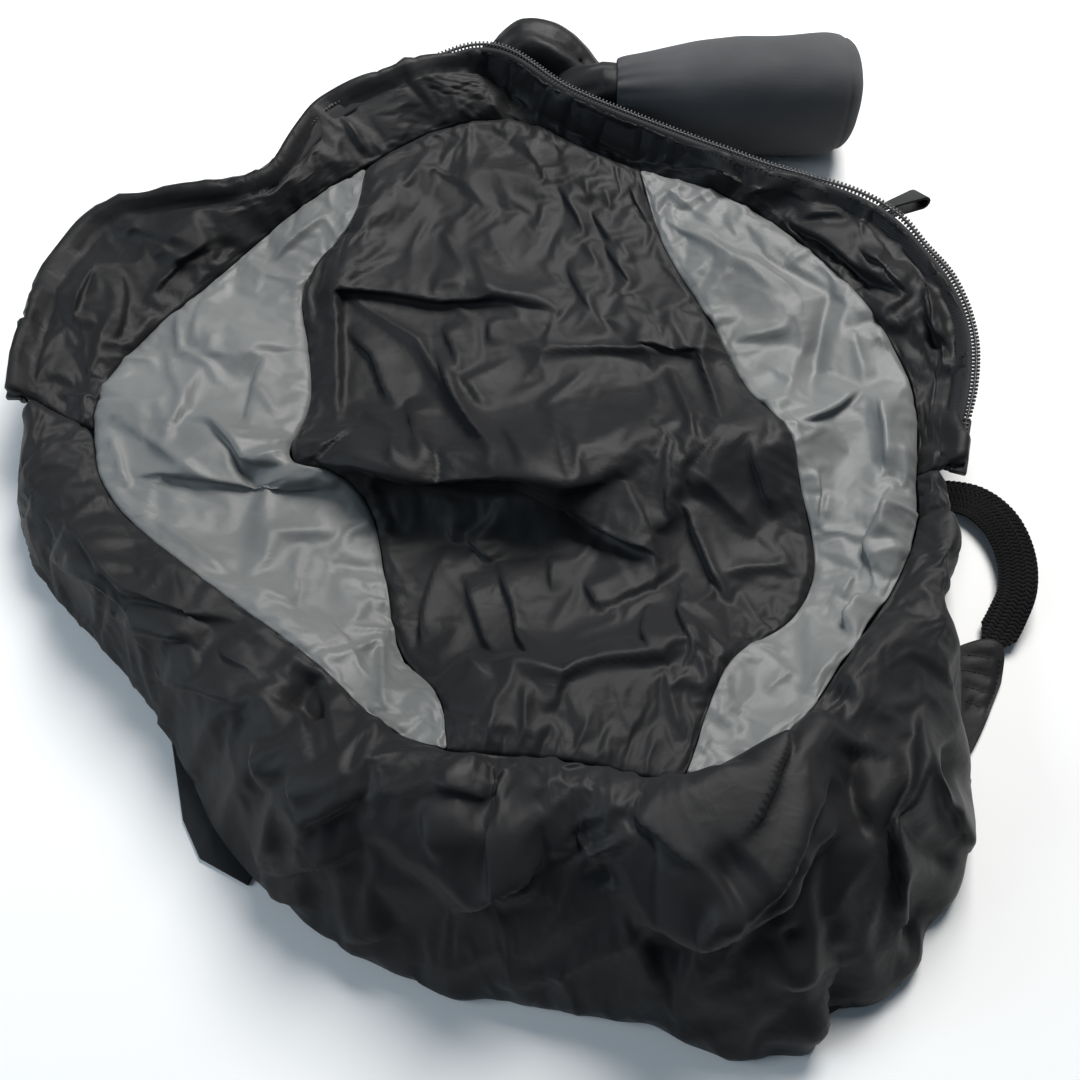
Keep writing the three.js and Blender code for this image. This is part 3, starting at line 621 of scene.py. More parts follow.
def pucker_seams(facts, seed, count, length, height, width):
    """The lift of puckers that run in from the seams."""
    draw = random.Random(seed)
    lift = np.zeros(len(facts["flat"]))
    places = sorted(facts["inward"])
    for _ in range(count):
        vertex = draw.choice(places)
        start = facts["flat"][vertex]
        inward = facts["inward"][vertex]
        angle = math.atan2(inward[1], inward[0]) + math.radians(draw.gauss(0, PUCKER_TURN))
        run = draw.uniform(*length) * MM * np.array([math.cos(angle), math.sin(angle)])
        tall = draw.uniform(*height) * MM * draw.choice(PUCKER_SIGNS)
        line = bowed(start - PUCKER_START * run, start + run, draw.uniform(-PUCKER_BOW, PUCKER_BOW))
        lift += tall * ridge(facts["flat"], line, draw.uniform(*width) * MM, 1.0)
    return lift


# %% [markdown]
# ## Buckling
# A crease pressed in is too even. So each skin is then simulated as thin cloth that is a few
# hundredths too large for its place. It starts stretched, and a shape key brings its seams in while the rest
# is held only lightly, so the spare cloth buckles into the sharp folds that nylon makes. More spare cloth
# across the bag than along it makes most folds run along the bag. The result is kept as a mesh. There is no
# gravity, because the main shape is already that of cloth at rest.

# %% Buckling
BUCKLE_FRAMES = 16
SEAM_HOLD_WIDTH = 0.5 * MM
NYLON_SETTINGS = {
    "quality": 6, "mass": 0.05, "air_damping": 2, "pin_stiffness": 0.4, "vertex_group_mass": "held",
    "tension_stiffness": 15, "compression_stiffness": 15, "shear_stiffness": 5,
    "tension_damping": 5, "compression_damping": 5, "shear_damping": 5, "bending_damping": 0.5,
}


def buckle(skin, seam, spare, hold, bending):
    """Lets spare cloth, as a share across and along, buckle; hold from 0 to 1 keeps it near its place."""
    before = read_places(skin)
    held = skin.vertex_groups.new(name="held")
    held.add(np.flatnonzero(seam < SEAM_HOLD_WIDTH).tolist(), 1.0, "REPLACE")
    held.add(np.flatnonzero(seam >= SEAM_HOLD_WIDTH).tolist(), hold, "REPLACE")
    skin.shape_key_add(name="lying", from_mix=False)
    stretched = skin.shape_key_add(name="stretched", from_mix=False)
    middle = before.mean(0)
    stretch = (1 + spare[0], 1 + spare[1], 1)
    stretched.data.foreach_set("co", (middle + (before - middle) * stretch).ravel())
    for step, value in ((1, 1.0), (BUCKLE_FRAMES // 2, 0.0)):
        stretched.value = value
        stretched.keyframe_insert("value", frame=step)
    cloth = skin.modifiers.new("buckling", "CLOTH")
    for name, value in NYLON_SETTINGS.items():
        setattr(cloth.settings, name, value)
    cloth.settings.bending_stiffness = bending
    cloth.settings.effector_weights.gravity = 0
    cloth.collision_settings.use_collision = False
    cloth.point_cache.frame_end = BUCKLE_FRAMES
    for step in range(1, BUCKLE_FRAMES + 1):
        bpy.context.scene.frame_set(step)
    flat_mesh = skin.data
    bake_modifiers(skin)
    bpy.context.scene.frame_set(1)
    bpy.data.meshes.remove(flat_mesh)
    skin.vertex_groups.clear()
    moved = np.linalg.norm(read_places(skin) - before, axis=1)
    print(skin.name, "buckled by mm:", (np.percentile(moved, [50, 90, 100]) / MM).round(2))


# %% [markdown]
# ## Edges and thickness
# At a seam both cloths dip and turn inside. So a skin's edge sinks into a small valley, then a narrow
# allowance is extruded downwards from it, and a Solidify modifier gives the cloth its thickness.

# %% Edges and thickness
SEAM_DIP = 1.3 * MM
SEAM_DIP_WIDTH = 2.6 * MM
ALLOWANCE = 4 * MM
CLOTH = 0.6 * MM
FLOOR_CLEARANCE = 0.3 * MM
HEADROOM = 6 * MM


def fold_skin(skin, facts, lift, spare, hold, bending):
    """Presses creases into a skin, sinks its seams, lets it buckle, and keeps it between floor and headroom."""
    dip = SEAM_DIP * np.exp(-((facts["seam"] / SEAM_DIP_WIDTH) ** 2))
    write_places(skin, facts["places"] + facts["normals"] * (lift - dip)[:, None])
    buckle(skin, facts["seam"], spare, hold, bending)
    places = read_places(skin)
    places[:, 2] = np.maximum(places[:, 2], CLOTH + FLOOR_CLEARANCE)
    above = np.maximum(places[:, 2] - cad_box[1][2] + HEADROOM, 0)
    places[:, 2] += 2 * HEADROOM * np.tanh(above / (2 * HEADROOM)) - above
    write_places(skin, places)


def thicken(piece, thickness):
    """Gives a sheet its thickness, below its upper side."""
    wall = piece.modifiers.new("cloth", "SOLIDIFY")
    wall.thickness = thickness
    wall.offset = -1


def finish_solid(piece, material, slot, *nodes):
    """The finish of a piece, and what it stands for."""
    piece.data.materials.clear()
    piece.data.materials.append(material)
    piece.data.shade_smooth()
    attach(piece, "root")
    if nodes:
        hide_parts(*nodes)


def finish_cloth(skin, material, node, slot, allowance=ALLOWANCE):
    """The turned-in edges, the thickness, and what the piece stands for."""
    bm = open_mesh(skin)
    edges = [edge for edge in bm.edges if edge.is_boundary]
    made = bmesh.ops.extrude_edge_only(bm, edges=edges)["geom"]
    for vertex in (item for item in made if isinstance(item, bmesh.types.BMVert)):
        vertex.co.z = max(vertex.co.z - allowance, min(vertex.co.z, CLOTH + FLOOR_CLEARANCE))
    close_mesh(bm, skin)
    thicken(skin, CLOTH)
    finish_solid(skin, material, slot, node)


# %% [markdown]
# ## Zip
# The open zip is two tapes, each with a row of small plastic teeth along its free edge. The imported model
# has a plain bar for each row. The bar's line is read from its rings, and one bevelled tooth is copied along
# it at the zip's pitch, on a thin core, so that every tooth is real.

# %% Lines of the zip
LINE_STEPS = 12


def next_ring(ring, seen):
    """The vertices joined to a ring that haven't been seen yet."""
    found = {edge.other_vert(v) for v in ring for edge in v.link_edges}
    return [v for v in sorted(found, key=lambda v: v.index) if v not in seen]


def ring_middles(node, reach):
    """The middles of a tube node's rings, from one end to the other. No ring is wider than reach."""
    bm = node_copy(node)
    bm.verts.ensure_lookup_table()
    ring = [bm.verts[0]]
    seen = set(ring)
    while ring:
        last = ring[0]
        ring = next_ring(ring, seen)
        seen.update(ring)
    ring = [v for v in bm.verts if (v.co - last.co).length < reach]
    seen = set(ring)
    middles = []
    while ring:
        middles.append(sum((v.co for v in ring), Vector()) / len(ring))
        ring = next_ring(ring, seen)
        seen.update(ring)
    bm.free()
    return middles


def even_line(rows, pitch):
    """Rows of numbers along a smooth line, one every pitch; the first three columns are places."""
    rows = np.array(rows)
    ends = np.vstack([2 * rows[0] - rows[1], rows, 2 * rows[-1] - rows[-2]])
    fine = []
    for a, b, c, d in zip(ends, ends[1:], ends[2:], ends[3:]):
        for t in np.linspace(0, 1, LINE_STEPS, endpoint=False):
            bend = (2 * a - 5 * b + 4 * c - d) * t**2
            fine.append(0.5 * (2 * b + (c - a) * t + bend + (3 * b - a - 3 * c + d) * t**3))
    fine = np.array(fine + [rows[-1]])
    run = np.concatenate([[0], np.cumsum(np.linalg.norm(np.diff(fine[:, :3], axis=0), axis=1))])
    steps = np.arange(0, run[-1], pitch)
    return np.column_stack([np.interp(steps, run, column) for column in fine.T])


def standing(place, ahead, up):
    """A placement whose X runs ahead and whose Z is as near to up as it can be."""
    x = Vector(ahead).normalized()
    y = Vector(up).cross(x).normalized()
    turn = Matrix((x, y, x.cross(y))).transposed().to_4x4()
    return Matrix.Translation(Vector(place)) @ turn


def bevelled_block(size, ease):
    """The mesh of a small block with eased edges."""
    bm = bmesh.new()
    bmesh.ops.create_cube(bm, size=1, matrix=Matrix.Diagonal((*size, 1)))
    bmesh.ops.bevel(bm, geom=bm.edges[:], offset=ease, affect="EDGES", segments=1, profile=0.5, material=-1)
    mesh = bpy.data.meshes.new("block")
    bm.to_mesh(mesh)
    bm.free()
    return mesh


def add_copies(bm, block, placements):
    """Copies of a block at each placement."""
    for placement in placements:
        before = len(bm.verts)
        bm.from_mesh(block)
        bm.verts.ensure_lookup_table()
        bmesh.ops.transform(bm, matrix=placement, verts=bm.verts[before:])


# %% Zip tapes and teeth
TOOTH_PITCH = 2.5 * MM
TOOTH_SIZE = (1.3 * MM, 4.4 * MM, 2.0 * MM)
TOOTH_EASE = 0.45 * MM
CORE_RADIUS = 0.9 * MM
RING_REACH = {"coil": 4 * MM, "tape": 9 * MM}
TAPE_THICKNESS = 0.9 * MM
END_ROWS = 4
UP = Vector((0, 0, 1))
# Shares of the zip's length: where the roll over the zip ends, and where the cover at its right end begins.
ROLL_ENDS = {"front": 0.46, "back": 1.1}
ROLL_FADE = 0.05
END_COVER, END_COVER_FADE = 0.962, 0.015
ROLL_SINK = 3.5 * MM


def ramp(value, start, end):
    """From 0 at start to 1 at end."""
    return min(max((value - start) / (end - start), 0), 1)


def roll_amount(half, share):
    """How far the cloth has rolled over the zip, from 0 to 1, at a share of the zip's length."""
    rolled = ramp(share, ROLL_ENDS[half], ROLL_ENDS[half] - ROLL_FADE)
    return max(rolled, ramp(share, END_COVER, END_COVER + END_COVER_FADE))


def tooth_placements(line):
    """Where each tooth stands on the zip's line."""
    placements = []
    for row, after in zip(line, line[1:]):
        ahead = Vector(after[:3] - row[:3])
        up = ahead.cross(Vector(row[:3] - row[3:]))
        placements.append(standing(row[:3], ahead, up if up.z > 0 else -up))
    return placements


def round_core(line):
    """A bmesh of the thin bar that carries the teeth."""
    core = bpy.data.curves.new("core", "CURVE")
    core.dimensions = "3D"
    core.bevel_depth = CORE_RADIUS
    core.bevel_resolution = 1
    core.use_fill_caps = True
    spline = core.splines.new("POLY")
    spline.points.add(len(line) - 1)
    spline.points.foreach_set("co", np.column_stack([line[:, :3], np.ones(len(line))]).ravel())
    bar = bpy.data.objects.new("core", core)
    bpy.context.collection.objects.link(bar)
    bpy.context.view_layer.update()
    bm = bmesh.new()
    bm.from_mesh(bar.evaluated_get(bpy.context.evaluated_depsgraph_get()).to_mesh())
    bpy.data.objects.remove(bar)
    return bm


def trim_tape(tape_cloth, line, sink):
    """Cuts off the tape's ends, and sinks it where the cloth has rolled over it."""
    bm = open_mesh(tape_cloth)
    ends = [Vector(line[0, 3:]), Vector(line[-1, 3:])]
    cut = [f for f in bm.faces if min((f.calc_center_median() - e).length for e in ends) < END_ROWS * TOOTH_PITCH]
    bmesh.ops.delete(bm, geom=cut, context="FACES")
    for v in bm.verts:
        v.co.z -= sink[np.linalg.norm(line[:, 3:] - np.array(v.co), axis=1).argmin()]
    close_mesh(bm, tape_cloth)


zip_lines = {}
tooth = bevelled_block(TOOTH_SIZE, TOOTH_EASE)
for half in ("front", "back"):
    coil = ring_middles(f"zip_coil_{half}", RING_REACH["coil"])[:-1]
    tape = ring_middles(f"zip_tape_{half}", RING_REACH["tape"])
    if (coil[0] - tape[0]).length > (coil[0] - tape[-1]).length:
        tape.reverse()
    line = zip_lines[half] = even_line([[*a, *b] for a, b in zip(coil, tape)], TOOTH_PITCH)
    sink = ROLL_SINK * np.array([roll_amount(half, index / len(line)) for index in range(len(line))])
    toothed = line[END_ROWS:-END_ROWS].copy()
    toothed[:, 2] -= sink[END_ROWS:-END_ROWS]
    placements = tooth_placements(toothed)
    bm = round_core(toothed)
    add_copies(bm, tooth, placements)
    teeth = new_piece(f"zip_teeth_{half}", bm)
    finish_solid(teeth, COIL_PLASTIC, "zip_coil", f"zip_coil_{half}")
    tape_cloth = panel_skin(f"zip_tape_{half}", f"zip_tape_{half}_cloth", levels=2)
    trim_tape(tape_cloth, line, sink)
    thicken(tape_cloth, TAPE_THICKNESS)
    finish_solid(tape_cloth, ZIP_TAPE, "zip_tape", f"zip_tape_{half}")
    length = len(line) * TOOTH_PITCH
    print(half, "teeth:", len(placements), "zip length:", round(length, 3))

# %% [markdown]
# ## Black centre
# The centre is one piece of cloth from the top seam to the bottom seam. Its slack lies in two cross folds,
# and between them it is drawn into many short creases along the bag. Each row of the table is a crease as
# the photograph shows it: points of the picture from left to right or from far to near, the height and width
# in millimetres, and the near or left flank as a share of the width. A negative height is a valley.

# %% Black centre
CENTRE_CREASES = (
    (((500, 340), (545, 355), (600, 350), (690, 358)), 4.0, 8, 0.35),
    (((350, 295), (420, 345), (450, 400), (495, 460)), 4.0, 6, 0.45),
    (((470, 250), (490, 300)), 2.0, 4, 0.5),
    (((540, 165), (545, 185)), 2.0, 3.5, 0.5),
    (((580, 175), (590, 205)), 2.0, 3.5, 0.5),
    (((600, 185), (612, 212)), 2.0, 3.5, 0.5),
    (((540, 200), (540, 230)), 2.0, 3.5, 0.5),
    (((615, 240), (635, 265)), 2.0, 3.5, 0.5),
    (((582, 240), (600, 275)), 2.0, 3.5, 0.5),
    (((340, 120), (365, 155)), 3.0, 5, 0.5),
    (((370, 100), (378, 118)), -2.0, 3, 1.5),
    (((405, 100), (460, 115)), 2.5, 5, 0.4),
    (((450, 120), (560, 130)), 2.5, 5, 0.4),
    (((650, 380), (660, 410)), 2.0, 4, 0.5),
    (((665, 365), (695, 440)), 2.5, 4.5, 0.5),
    (((290, 462), (400, 460), (480, 462), (560, 466), (650, 460)), 6.0, 14, 0.25),
    (((320, 480), (400, 487), (500, 499), (560, 512), (600, 537), (660, 577)), -5.0, 5, 1.5),
    (((405, 465), (420, 485)), 2.0, 3, 0.5),
    (((435, 465), (445, 480)), 2.0, 3, 0.5),
    (((630, 540), (655, 575)), 2.5, 4, 0.5),
    (((725, 575), (800, 565)), 3.0, 6, 0.4),
    (((690, 460), (760, 535)), 3.5, 6, 0.5),
    (((440, 672), (500, 668), (560, 675), (600, 662), (660, 655), (720, 625)), 4.5, 10, 0.3),
    (((525, 680), (525, 750)), 2.5, 4, 0.5),
    (((660, 665), (680, 740)), 2.5, 4, 0.5),
)
# A tuck's row has no second width.
CENTRE_TUCKS = (
    (((300, 288), (345, 296), (400, 297), (450, 305), (500, 303), (590, 322)), 6, 14),
    (((340, 328), (372, 360), (382, 392), (388, 410)), 5, 9),
    (((428, 352), (440, 375), (452, 402), (478, 442), (486, 456)), 6, 10),
    (((440, 325), (455, 360), (462, 378)), 4, 7),
    (((460, 380), (475, 392), (490, 415)), 4, 8),
    (((488, 318), (492, 350)), 4, 6),
    (((383, 430), (385, 456)), 4, 7),
    (((402, 398), (410, 430), (415, 460)), 4, 8),
    (((505, 425), (517, 458)), 3, 6),
    (((290, 462), (320, 450), (345, 432), (365, 420)), 4, 8),
    (((288, 458), (300, 440), (318, 420)), 3, 6),
    (((600, 345), (650, 350), (690, 354), (722, 342)), 5, 10),
    (((555, 185), (575, 218), (580, 240)), 3, 7),
    (((590, 210), (610, 245)), 3, 6),
    (((600, 240), (630, 290)), 3, 7),
    (((560, 260), (590, 318)), 3, 7),
    (((625, 180), (645, 225)), 3, 6),
    (((500, 497), (560, 512), (600, 535), (660, 577)), 9, 18),
    (((680, 500), (690, 535), (720, 605)), 6, 10),
    (((664, 480), (663, 520)), 3, 6),
    (((440, 545), (425, 600), (413, 655)), 5, 9),
    (((445, 520), (450, 545)), 3, 5),
    (((462, 535), (480, 555), (492, 568)), 4, 7),
    (((490, 560), (510, 610), (525, 668)), 5, 10),
    (((460, 575), (475, 620), (488, 660)), 5, 10),
    (((545, 555), (548, 592)), 4, 7),
    (((578, 580), (598, 610)), 4, 8),
    (((640, 602), (637, 657)), 5, 9),
    (((672, 598), (685, 650)), 4, 8),
    (((742, 438), (760, 485), (772, 522)), 4, 8),
    (((500, 678), (499, 758)), 5, 8),
)
# Where a fold leans over towards the bag's bottom: points, reach and widths as above.
CENTRE_LIPS = (
    (((295, 464), (400, 463), (480, 465), (560, 470), (650, 466)), 10.0, 18, 0.2),
)
centre = panel_skin("centre_panel", "centre_cloth", levels=3)
facts = skin_facts(centre)
lift = press_creases(centre, facts, CENTRE_CREASES)
lift += scatter_creases(
    facts, seed=11, count=80, heading=95, scatter=22, length=(20, 60), height=(0.3, 0.9), width=(2.0, 4.0)
)
lift += pucker_seams(facts, seed=12, count=120, length=(10, 32), height=(0.4, 1.3), width=(1.6, 3.0))
facts["places"][:, 1] -= press_creases(centre, facts, CENTRE_LIPS)
facts["places"] += press_tucks(centre, facts, CENTRE_TUCKS, passes=1)
fold_skin(centre, facts, lift, spare=(0.04, 0.014), hold=0.06, bending=0.02)
finish_cloth(centre, BLACK_NYLON, "centre_panel", "black_nylon")

# %% [markdown]
# ## Grey crescents
# Each crescent is gathered along its curved outer seam, so small folds fan inwards from there, and a few
# long soft folds cross it where the centre's ridges pull on it.

# %% Grey crescents
GREY_CREASES = {
    "left": (
        (((270, 260), (345, 205)), 3.0, 7, 0.5),
        (((265, 265), (330, 215)), 2.0, 5, 0.5),
        (((165, 305), (165, 350)), 2.0, 4, 0.5),
        (((180, 310), (180, 360)), 2.0, 4, 0.5),
        (((200, 310), (195, 350)), 2.0, 4, 0.5),
        (((215, 330), (205, 360)), 2.0, 4, 0.5),
        (((120, 362), (200, 365)), 3.0, 6, 0.4),
        (((100, 385), (130, 345)), 2.5, 4, 0.5),
        (((255, 355), (242, 430)), -4.0, 5, 1.3),
        (((260, 385), (282, 420)), 3.0, 4, 0.5),
        (((230, 455), (260, 480), (360, 492)), -4.0, 4, 1.5),
        (((100, 400), (120, 420), (200, 470), (240, 490)), 2.0, 8, 0.4),
        (((140, 430), (215, 480)), 2.5, 5, 0.5),
        (((95, 405), (115, 440), (110, 470)), 2.5, 4, 0.5),
        (((235, 535), (355, 530)), 2.5, 12, 0.6),
        (((235, 612), (280, 600), (300, 606)), 2.5, 5, 0.5),
        (((330, 660), (355, 700), (385, 715)), 3.0, 5, 0.5),
        (((340, 640), (375, 690), (395, 720)), 3.0, 6, 0.5),
        (((385, 560), (400, 650)), 2.5, 4, 0.5),
        (((110, 500), (160, 525), (230, 575)), 2.5, 5, 0.5),
    ),
    "right": (
        (((640, 180), (650, 240)), 3.0, 5, 0.5),
        (((660, 185), (720, 225)), 2.5, 5, 0.5),
        (((660, 215), (740, 265), (790, 300)), 3.5, 7, 0.5),
        (((730, 255), (800, 295)), 2.5, 5, 0.5),
        (((750, 250), (830, 290), (870, 305)), -4.0, 6, 1.3),
        (((730, 340), (795, 325)), 3.5, 7, 0.4),
        (((725, 365), (800, 345)), 3.5, 7, 0.4),
        (((760, 360), (810, 400)), 2.5, 5, 0.5),
        (((850, 320), (865, 385)), 3.0, 5, 0.5),
        (((870, 330), (890, 350)), 2.0, 4, 0.5),
        (((865, 388), (880, 430), (885, 480)), 3.0, 7, 0.4),
        (((905, 440), (905, 490)), 2.5, 4, 0.5),
        (((890, 500), (885, 545)), 2.5, 4, 0.5),
        (((830, 490), (825, 520)), 2.0, 4, 0.5),
        (((800, 700), (850, 640)), 3.0, 7, 0.5),
        (((720, 770), (790, 745)), 2.5, 5, 0.5),
        (((840, 600), (855, 570)), 3.0, 5, 0.5),
    ),
}
GREY_TUCKS = {
    "left": (
        (((180, 420), (210, 425), (245, 462), (290, 470)), 6, 13),
        (((110, 478), (160, 480), (230, 488), (360, 496)), 5, 14),
        (((262, 352), (250, 395), (243, 430)), 4, 8),
    ),
    "right": (
        (((800, 426), (840, 411), (867, 389)), 6, 14),
        (((867, 389), (880, 430), (885, 480)), 4, 8),
        (((885, 482), (875, 520), (863, 545), (862, 575)), 6, 9),
        (((808, 540), (820, 500), (818, 475), (805, 455)), 4, 6),
        (((862, 588), (850, 612), (832, 630)), 7, 10),
        (((910, 425), (908, 490)), 3, 6),
    ),
}
# Seed of each crescent's small creases, and the heading of most of them in degrees.
GREY_SCATTER = {"left": (21, 60), "right": (31, 110)}
for side, (seed, heading) in GREY_SCATTER.items():
    grey = panel_skin(f"grey_panel_{side}", f"grey_cloth_{side}", levels=3)
    facts = skin_facts(grey)
    lift = press_creases(grey, facts, GREY_CREASES[side])
    lift += scatter_creases(
        facts, seed=seed, count=45, heading=heading, scatter=45,
        length=(15, 45), height=(0.2, 0.7), width=(2.0, 4.0),
    )
    lift += pucker_seams(facts, seed=seed + 1, count=120, length=(8, 32), height=(0.4, 1.3), width=(1.6, 3.2))
    facts["places"] += press_tucks(grey, facts, GREY_TUCKS[side], passes=1)
    fold_skin(grey, facts, lift, spare=(0.028, 0.018), hold=0.06, bending=0.03)
    finish_cloth(grey, GREY_NYLON, f"grey_panel_{side}", "grey_nylon")

# %% [markdown]
# ## Cloth over the zip
# The rim and the back wall are sewn on top of the zip's tapes. At the top right the teeth show beside the
# cloth's edge. Elsewhere the cloth has rolled right over the teeth and hides them, and at both ends of the
# zip it closes round the last teeth. So the skin's edge is extruded in steps over the tape, before it is
# creased, and the creases then run on over the roll.

# %% Cloth over the zip
TAPE_REACH = 8 * MM
END_CLOSING = 5 * MM
ROLL_SIZE = {"front": 1.0, "back": 0.6}
CLOTH_EDGE = -0.7
ROLL_UNEVENNESS, UNEVEN_SCALE, UNEVEN_SEED = 0.3, 0.07, 5.0
END_OVERRUN = 0.3 * MM
ALONG_ZIP = 0.7
SORTING_LINE = Vector((0.79, 0.53, 0.31))
# Steps out over the tape, as shares of the way from its middle to the teeth, and the heights above it in mm:
# first where the cloth is only sewn on, then where it has rolled over the zip.
SEWN_STEPS = ((-0.4, 1.0), (-0.1, 1.1), (0.2, 1.0), (0.26, 0.6), (0.27, 0), (0.27, -0.6), (0.27, -1.2))
ROLLED_STEPS = ((-0.3, 2.4), (0.3, 4.2), (0.9, 4.4), (1.35, 2.4), (1.6, -1), (1.55, -5.5), (1.3, -10))


def zip_row(zip_line, place):
    """The teeth's and the tape's places at a place along the zip, counted in rows."""
    index = min(int(place), len(zip_line) - 2)
    row = zip_line[index] + (place - index) * (zip_line[index + 1] - zip_line[index])
    return Vector(row[:3]), Vector(row[3:])


def zip_places(zip_line, edges):
    """The boundary edges that run along the zip, and where along it each of their vertices is."""
    tape = search_tree(zip_line[:, 3:])
    ahead = np.gradient(zip_line[:, 3:], axis=0)
    along, place_of = [], {}
    for edge in edges:
        found = [tape.find(v.co) for v in edge.verts]
        run = (edge.verts[1].co - edge.verts[0].co).normalized()
        zip_run = Vector(ahead[found[0][1]])
        if max(gap for _, _, gap in found) > TAPE_REACH or abs(run.dot(zip_run.normalized())) < ALONG_ZIP:
            continue
        along.append(edge)
        for v, (spot, index, _) in zip(edge.verts, found):
            step = (v.co - spot).dot(Vector(ahead[index])) / Vector(ahead[index]).length_squared
            place_of[v] = min(max(index + step, 0), len(zip_line) - 1)
    return along, place_of


def put_in_order(bm):
    """Sorts edges and faces by place, because an extrusion adds them in no fixed order."""
    bm.edges.sort(key=lambda edge: (edge.verts[0].co + edge.verts[1].co).dot(SORTING_LINE))
    bm.faces.sort(key=lambda face: face.calc_center_median().dot(SORTING_LINE))


def reach_over_zip(skin, half):
    """Carries the skin's edge out over the tape of one half of the zip, sewn on or rolled over the teeth."""
    zip_line = zip_lines[half]
    bm = open_mesh(skin)
    layer = bm.loops.layers.uv["flat"]
    edges, place_of = zip_places(zip_line, [edge for edge in bm.edges if edge.is_boundary])
    flat = {v: v.link_loops[0][layer].uv.copy() for v in bm.verts}
    outward = {}
    for v in place_of:
        inner = [edge.other_vert(v) for edge in v.link_edges if not edge.is_boundary]
        outward[v] = sum((flat[v] - flat[other] for other in inner), Vector((0, 0))).normalized()
    for (out, high), (rolled_out, rolled_high) in zip(SEWN_STEPS, ROLLED_STEPS):
        made = bmesh.ops.extrude_edge_only(bm, edges=edges)["geom"]
        fresh = {}
        for v in (item for item in made if isinstance(item, bmesh.types.BMVert)):
            before = next(e.other_vert(v) for e in v.link_edges if e.other_vert(v) in place_of)
            place = fresh[v] = place_of[before]
            rolled = roll_amount(half, place / len(zip_line))
            from_end = min(place, len(zip_line) - 1 - place) * TOOTH_PITCH
            open_share = math.sqrt(1 - (1 - ramp(from_end, -END_OVERRUN, END_CLOSING)) ** 2)
            uneven = noise.noise(Vector((place * UNEVEN_SCALE, UNEVEN_SEED, 0.0)))
            swell = 1 + rolled * ROLL_UNEVENNESS * uneven
            teeth, middle = zip_row(zip_line, place)
            size = open_share * (1 + (ROLL_SIZE[half] - 1) * rolled)
            reach = CLOTH_EDGE + (out + (rolled_out - out) * rolled - CLOTH_EDGE) * size
            v.co = middle + reach * (teeth - middle)
            v.co.z += (high + (rolled_high - high) * rolled) * size * swell * MM
            outward[v] = outward[before]
            flat[v] = flat[before] + outward[before] * (v.co - before.co).length
        place_of = fresh
        edges = [e for e in made if isinstance(e, bmesh.types.BMEdge) and all(v in fresh for v in e.verts)]
        for face in (item for item in made if isinstance(item, bmesh.types.BMFace)):
            for loop in face.loops:
                loop[layer].uv = flat[loop.vert]
    put_in_order(bm)
    close_mesh(bm, skin)


# %% [markdown]
# ## Stitches
# A row of stitches is one eased block of thread, copied along a line at the stitch's pitch. The line is laid
# on the cloth by looking down on it, so the stitches follow its folds.

# %% Stitches
STITCH_SIZE = (2.2 * MM, 0.55 * MM, 0.45 * MM)
STITCH_PITCH = 3.0 * MM
STITCH_EASE = 0.12 * MM
LOOK_FROM = 20 * MM
stitch = bevelled_block(STITCH_SIZE, STITCH_EASE)


def stitch_rows(name, cloth, lines):
    """Stitches along lines of places, laid on a cloth."""
    rows = open_mesh(cloth)
    surface = BVHTree.FromBMesh(rows)
    rows.clear()
    placements = []
    for line in lines:
        line = even_line(line, STITCH_PITCH)
        for place, after in zip(line, line[1:]):
            spot, normal, _, _ = surface.ray_cast(Vector(place) + LOOK_FROM * UP, -UP)
            if spot is not None:
                placements.append(standing(spot, after - place, normal))
    add_copies(rows, stitch, placements)
    made = new_piece(name, rows)
    finish_solid(made, BLACK_NYLON, "black_nylon")
    print(name, "stitches:", len(placements))


# %% [markdown]
# ## Rim
# The front gusset is the rim between the front seam and the zip. Its zip edge stands up, and just inside it
# the cloth hangs steeply, more at the top and right than at the left, so a dark band runs along the zip.

# %% Rim
SAG_START, SAG_DEEPEST, SAG_END = 4 * MM, 11 * MM, 36 * MM
# The stretch of the zip where the rim's edge shows, and where its stitches are between tape and teeth.
SEWN_SHARE = (0.48, 0.94)
STITCH_OFFSET = -0.1
# Share of the zip's length from its left end, and how far the rim hangs there in mm.
SAG_ALONG_ZIP = ((0.0, 0), (0.42, 1), (0.5, 19), (0.6, 23), (0.66, 6), (0.95, 6), (1.0, 0))
RIM_CREASES = (
    (((80, 290), (75, 330)), 3.0, 4, 0.5),
    (((105, 265), (110, 300), (85, 400)), 3.0, 6, 0.5),
    (((95, 260), (100, 300)), 2.5, 4, 0.5),
    (((110, 225), (180, 260)), 3.0, 6, 0.5),
    (((110, 225), (200, 245)), 3.0, 6, 0.4),
    (((215, 265), (230, 235)), -3.0, 3, 1.3),
    (((280, 208), (300, 200)), -2.5, 3, 1.3),
    (((345, 115), (370, 155)), 3.0, 5, 0.5),
    (((700, 160), (740, 180)), 2.5, 4, 0.5),
    (((740, 165), (830, 200)), 3.0, 6, 0.5),
    (((760, 190), (800, 180)), 2.5, 4, 0.5),
    (((800, 205), (860, 205)), 3.0, 5, 0.4),
    (((770, 210), (835, 250), (900, 300)), -4.0, 5, 1.5),
    (((855, 210), (935, 265)), 3.0, 7, 0.4),
    (((860, 240), (880, 280)), 2.5, 4, 0.5),
    (((925, 270), (925, 320)), 3.0, 5, 0.5),
    (((930, 330), (945, 345)), -3.0, 4, 1.0),
)
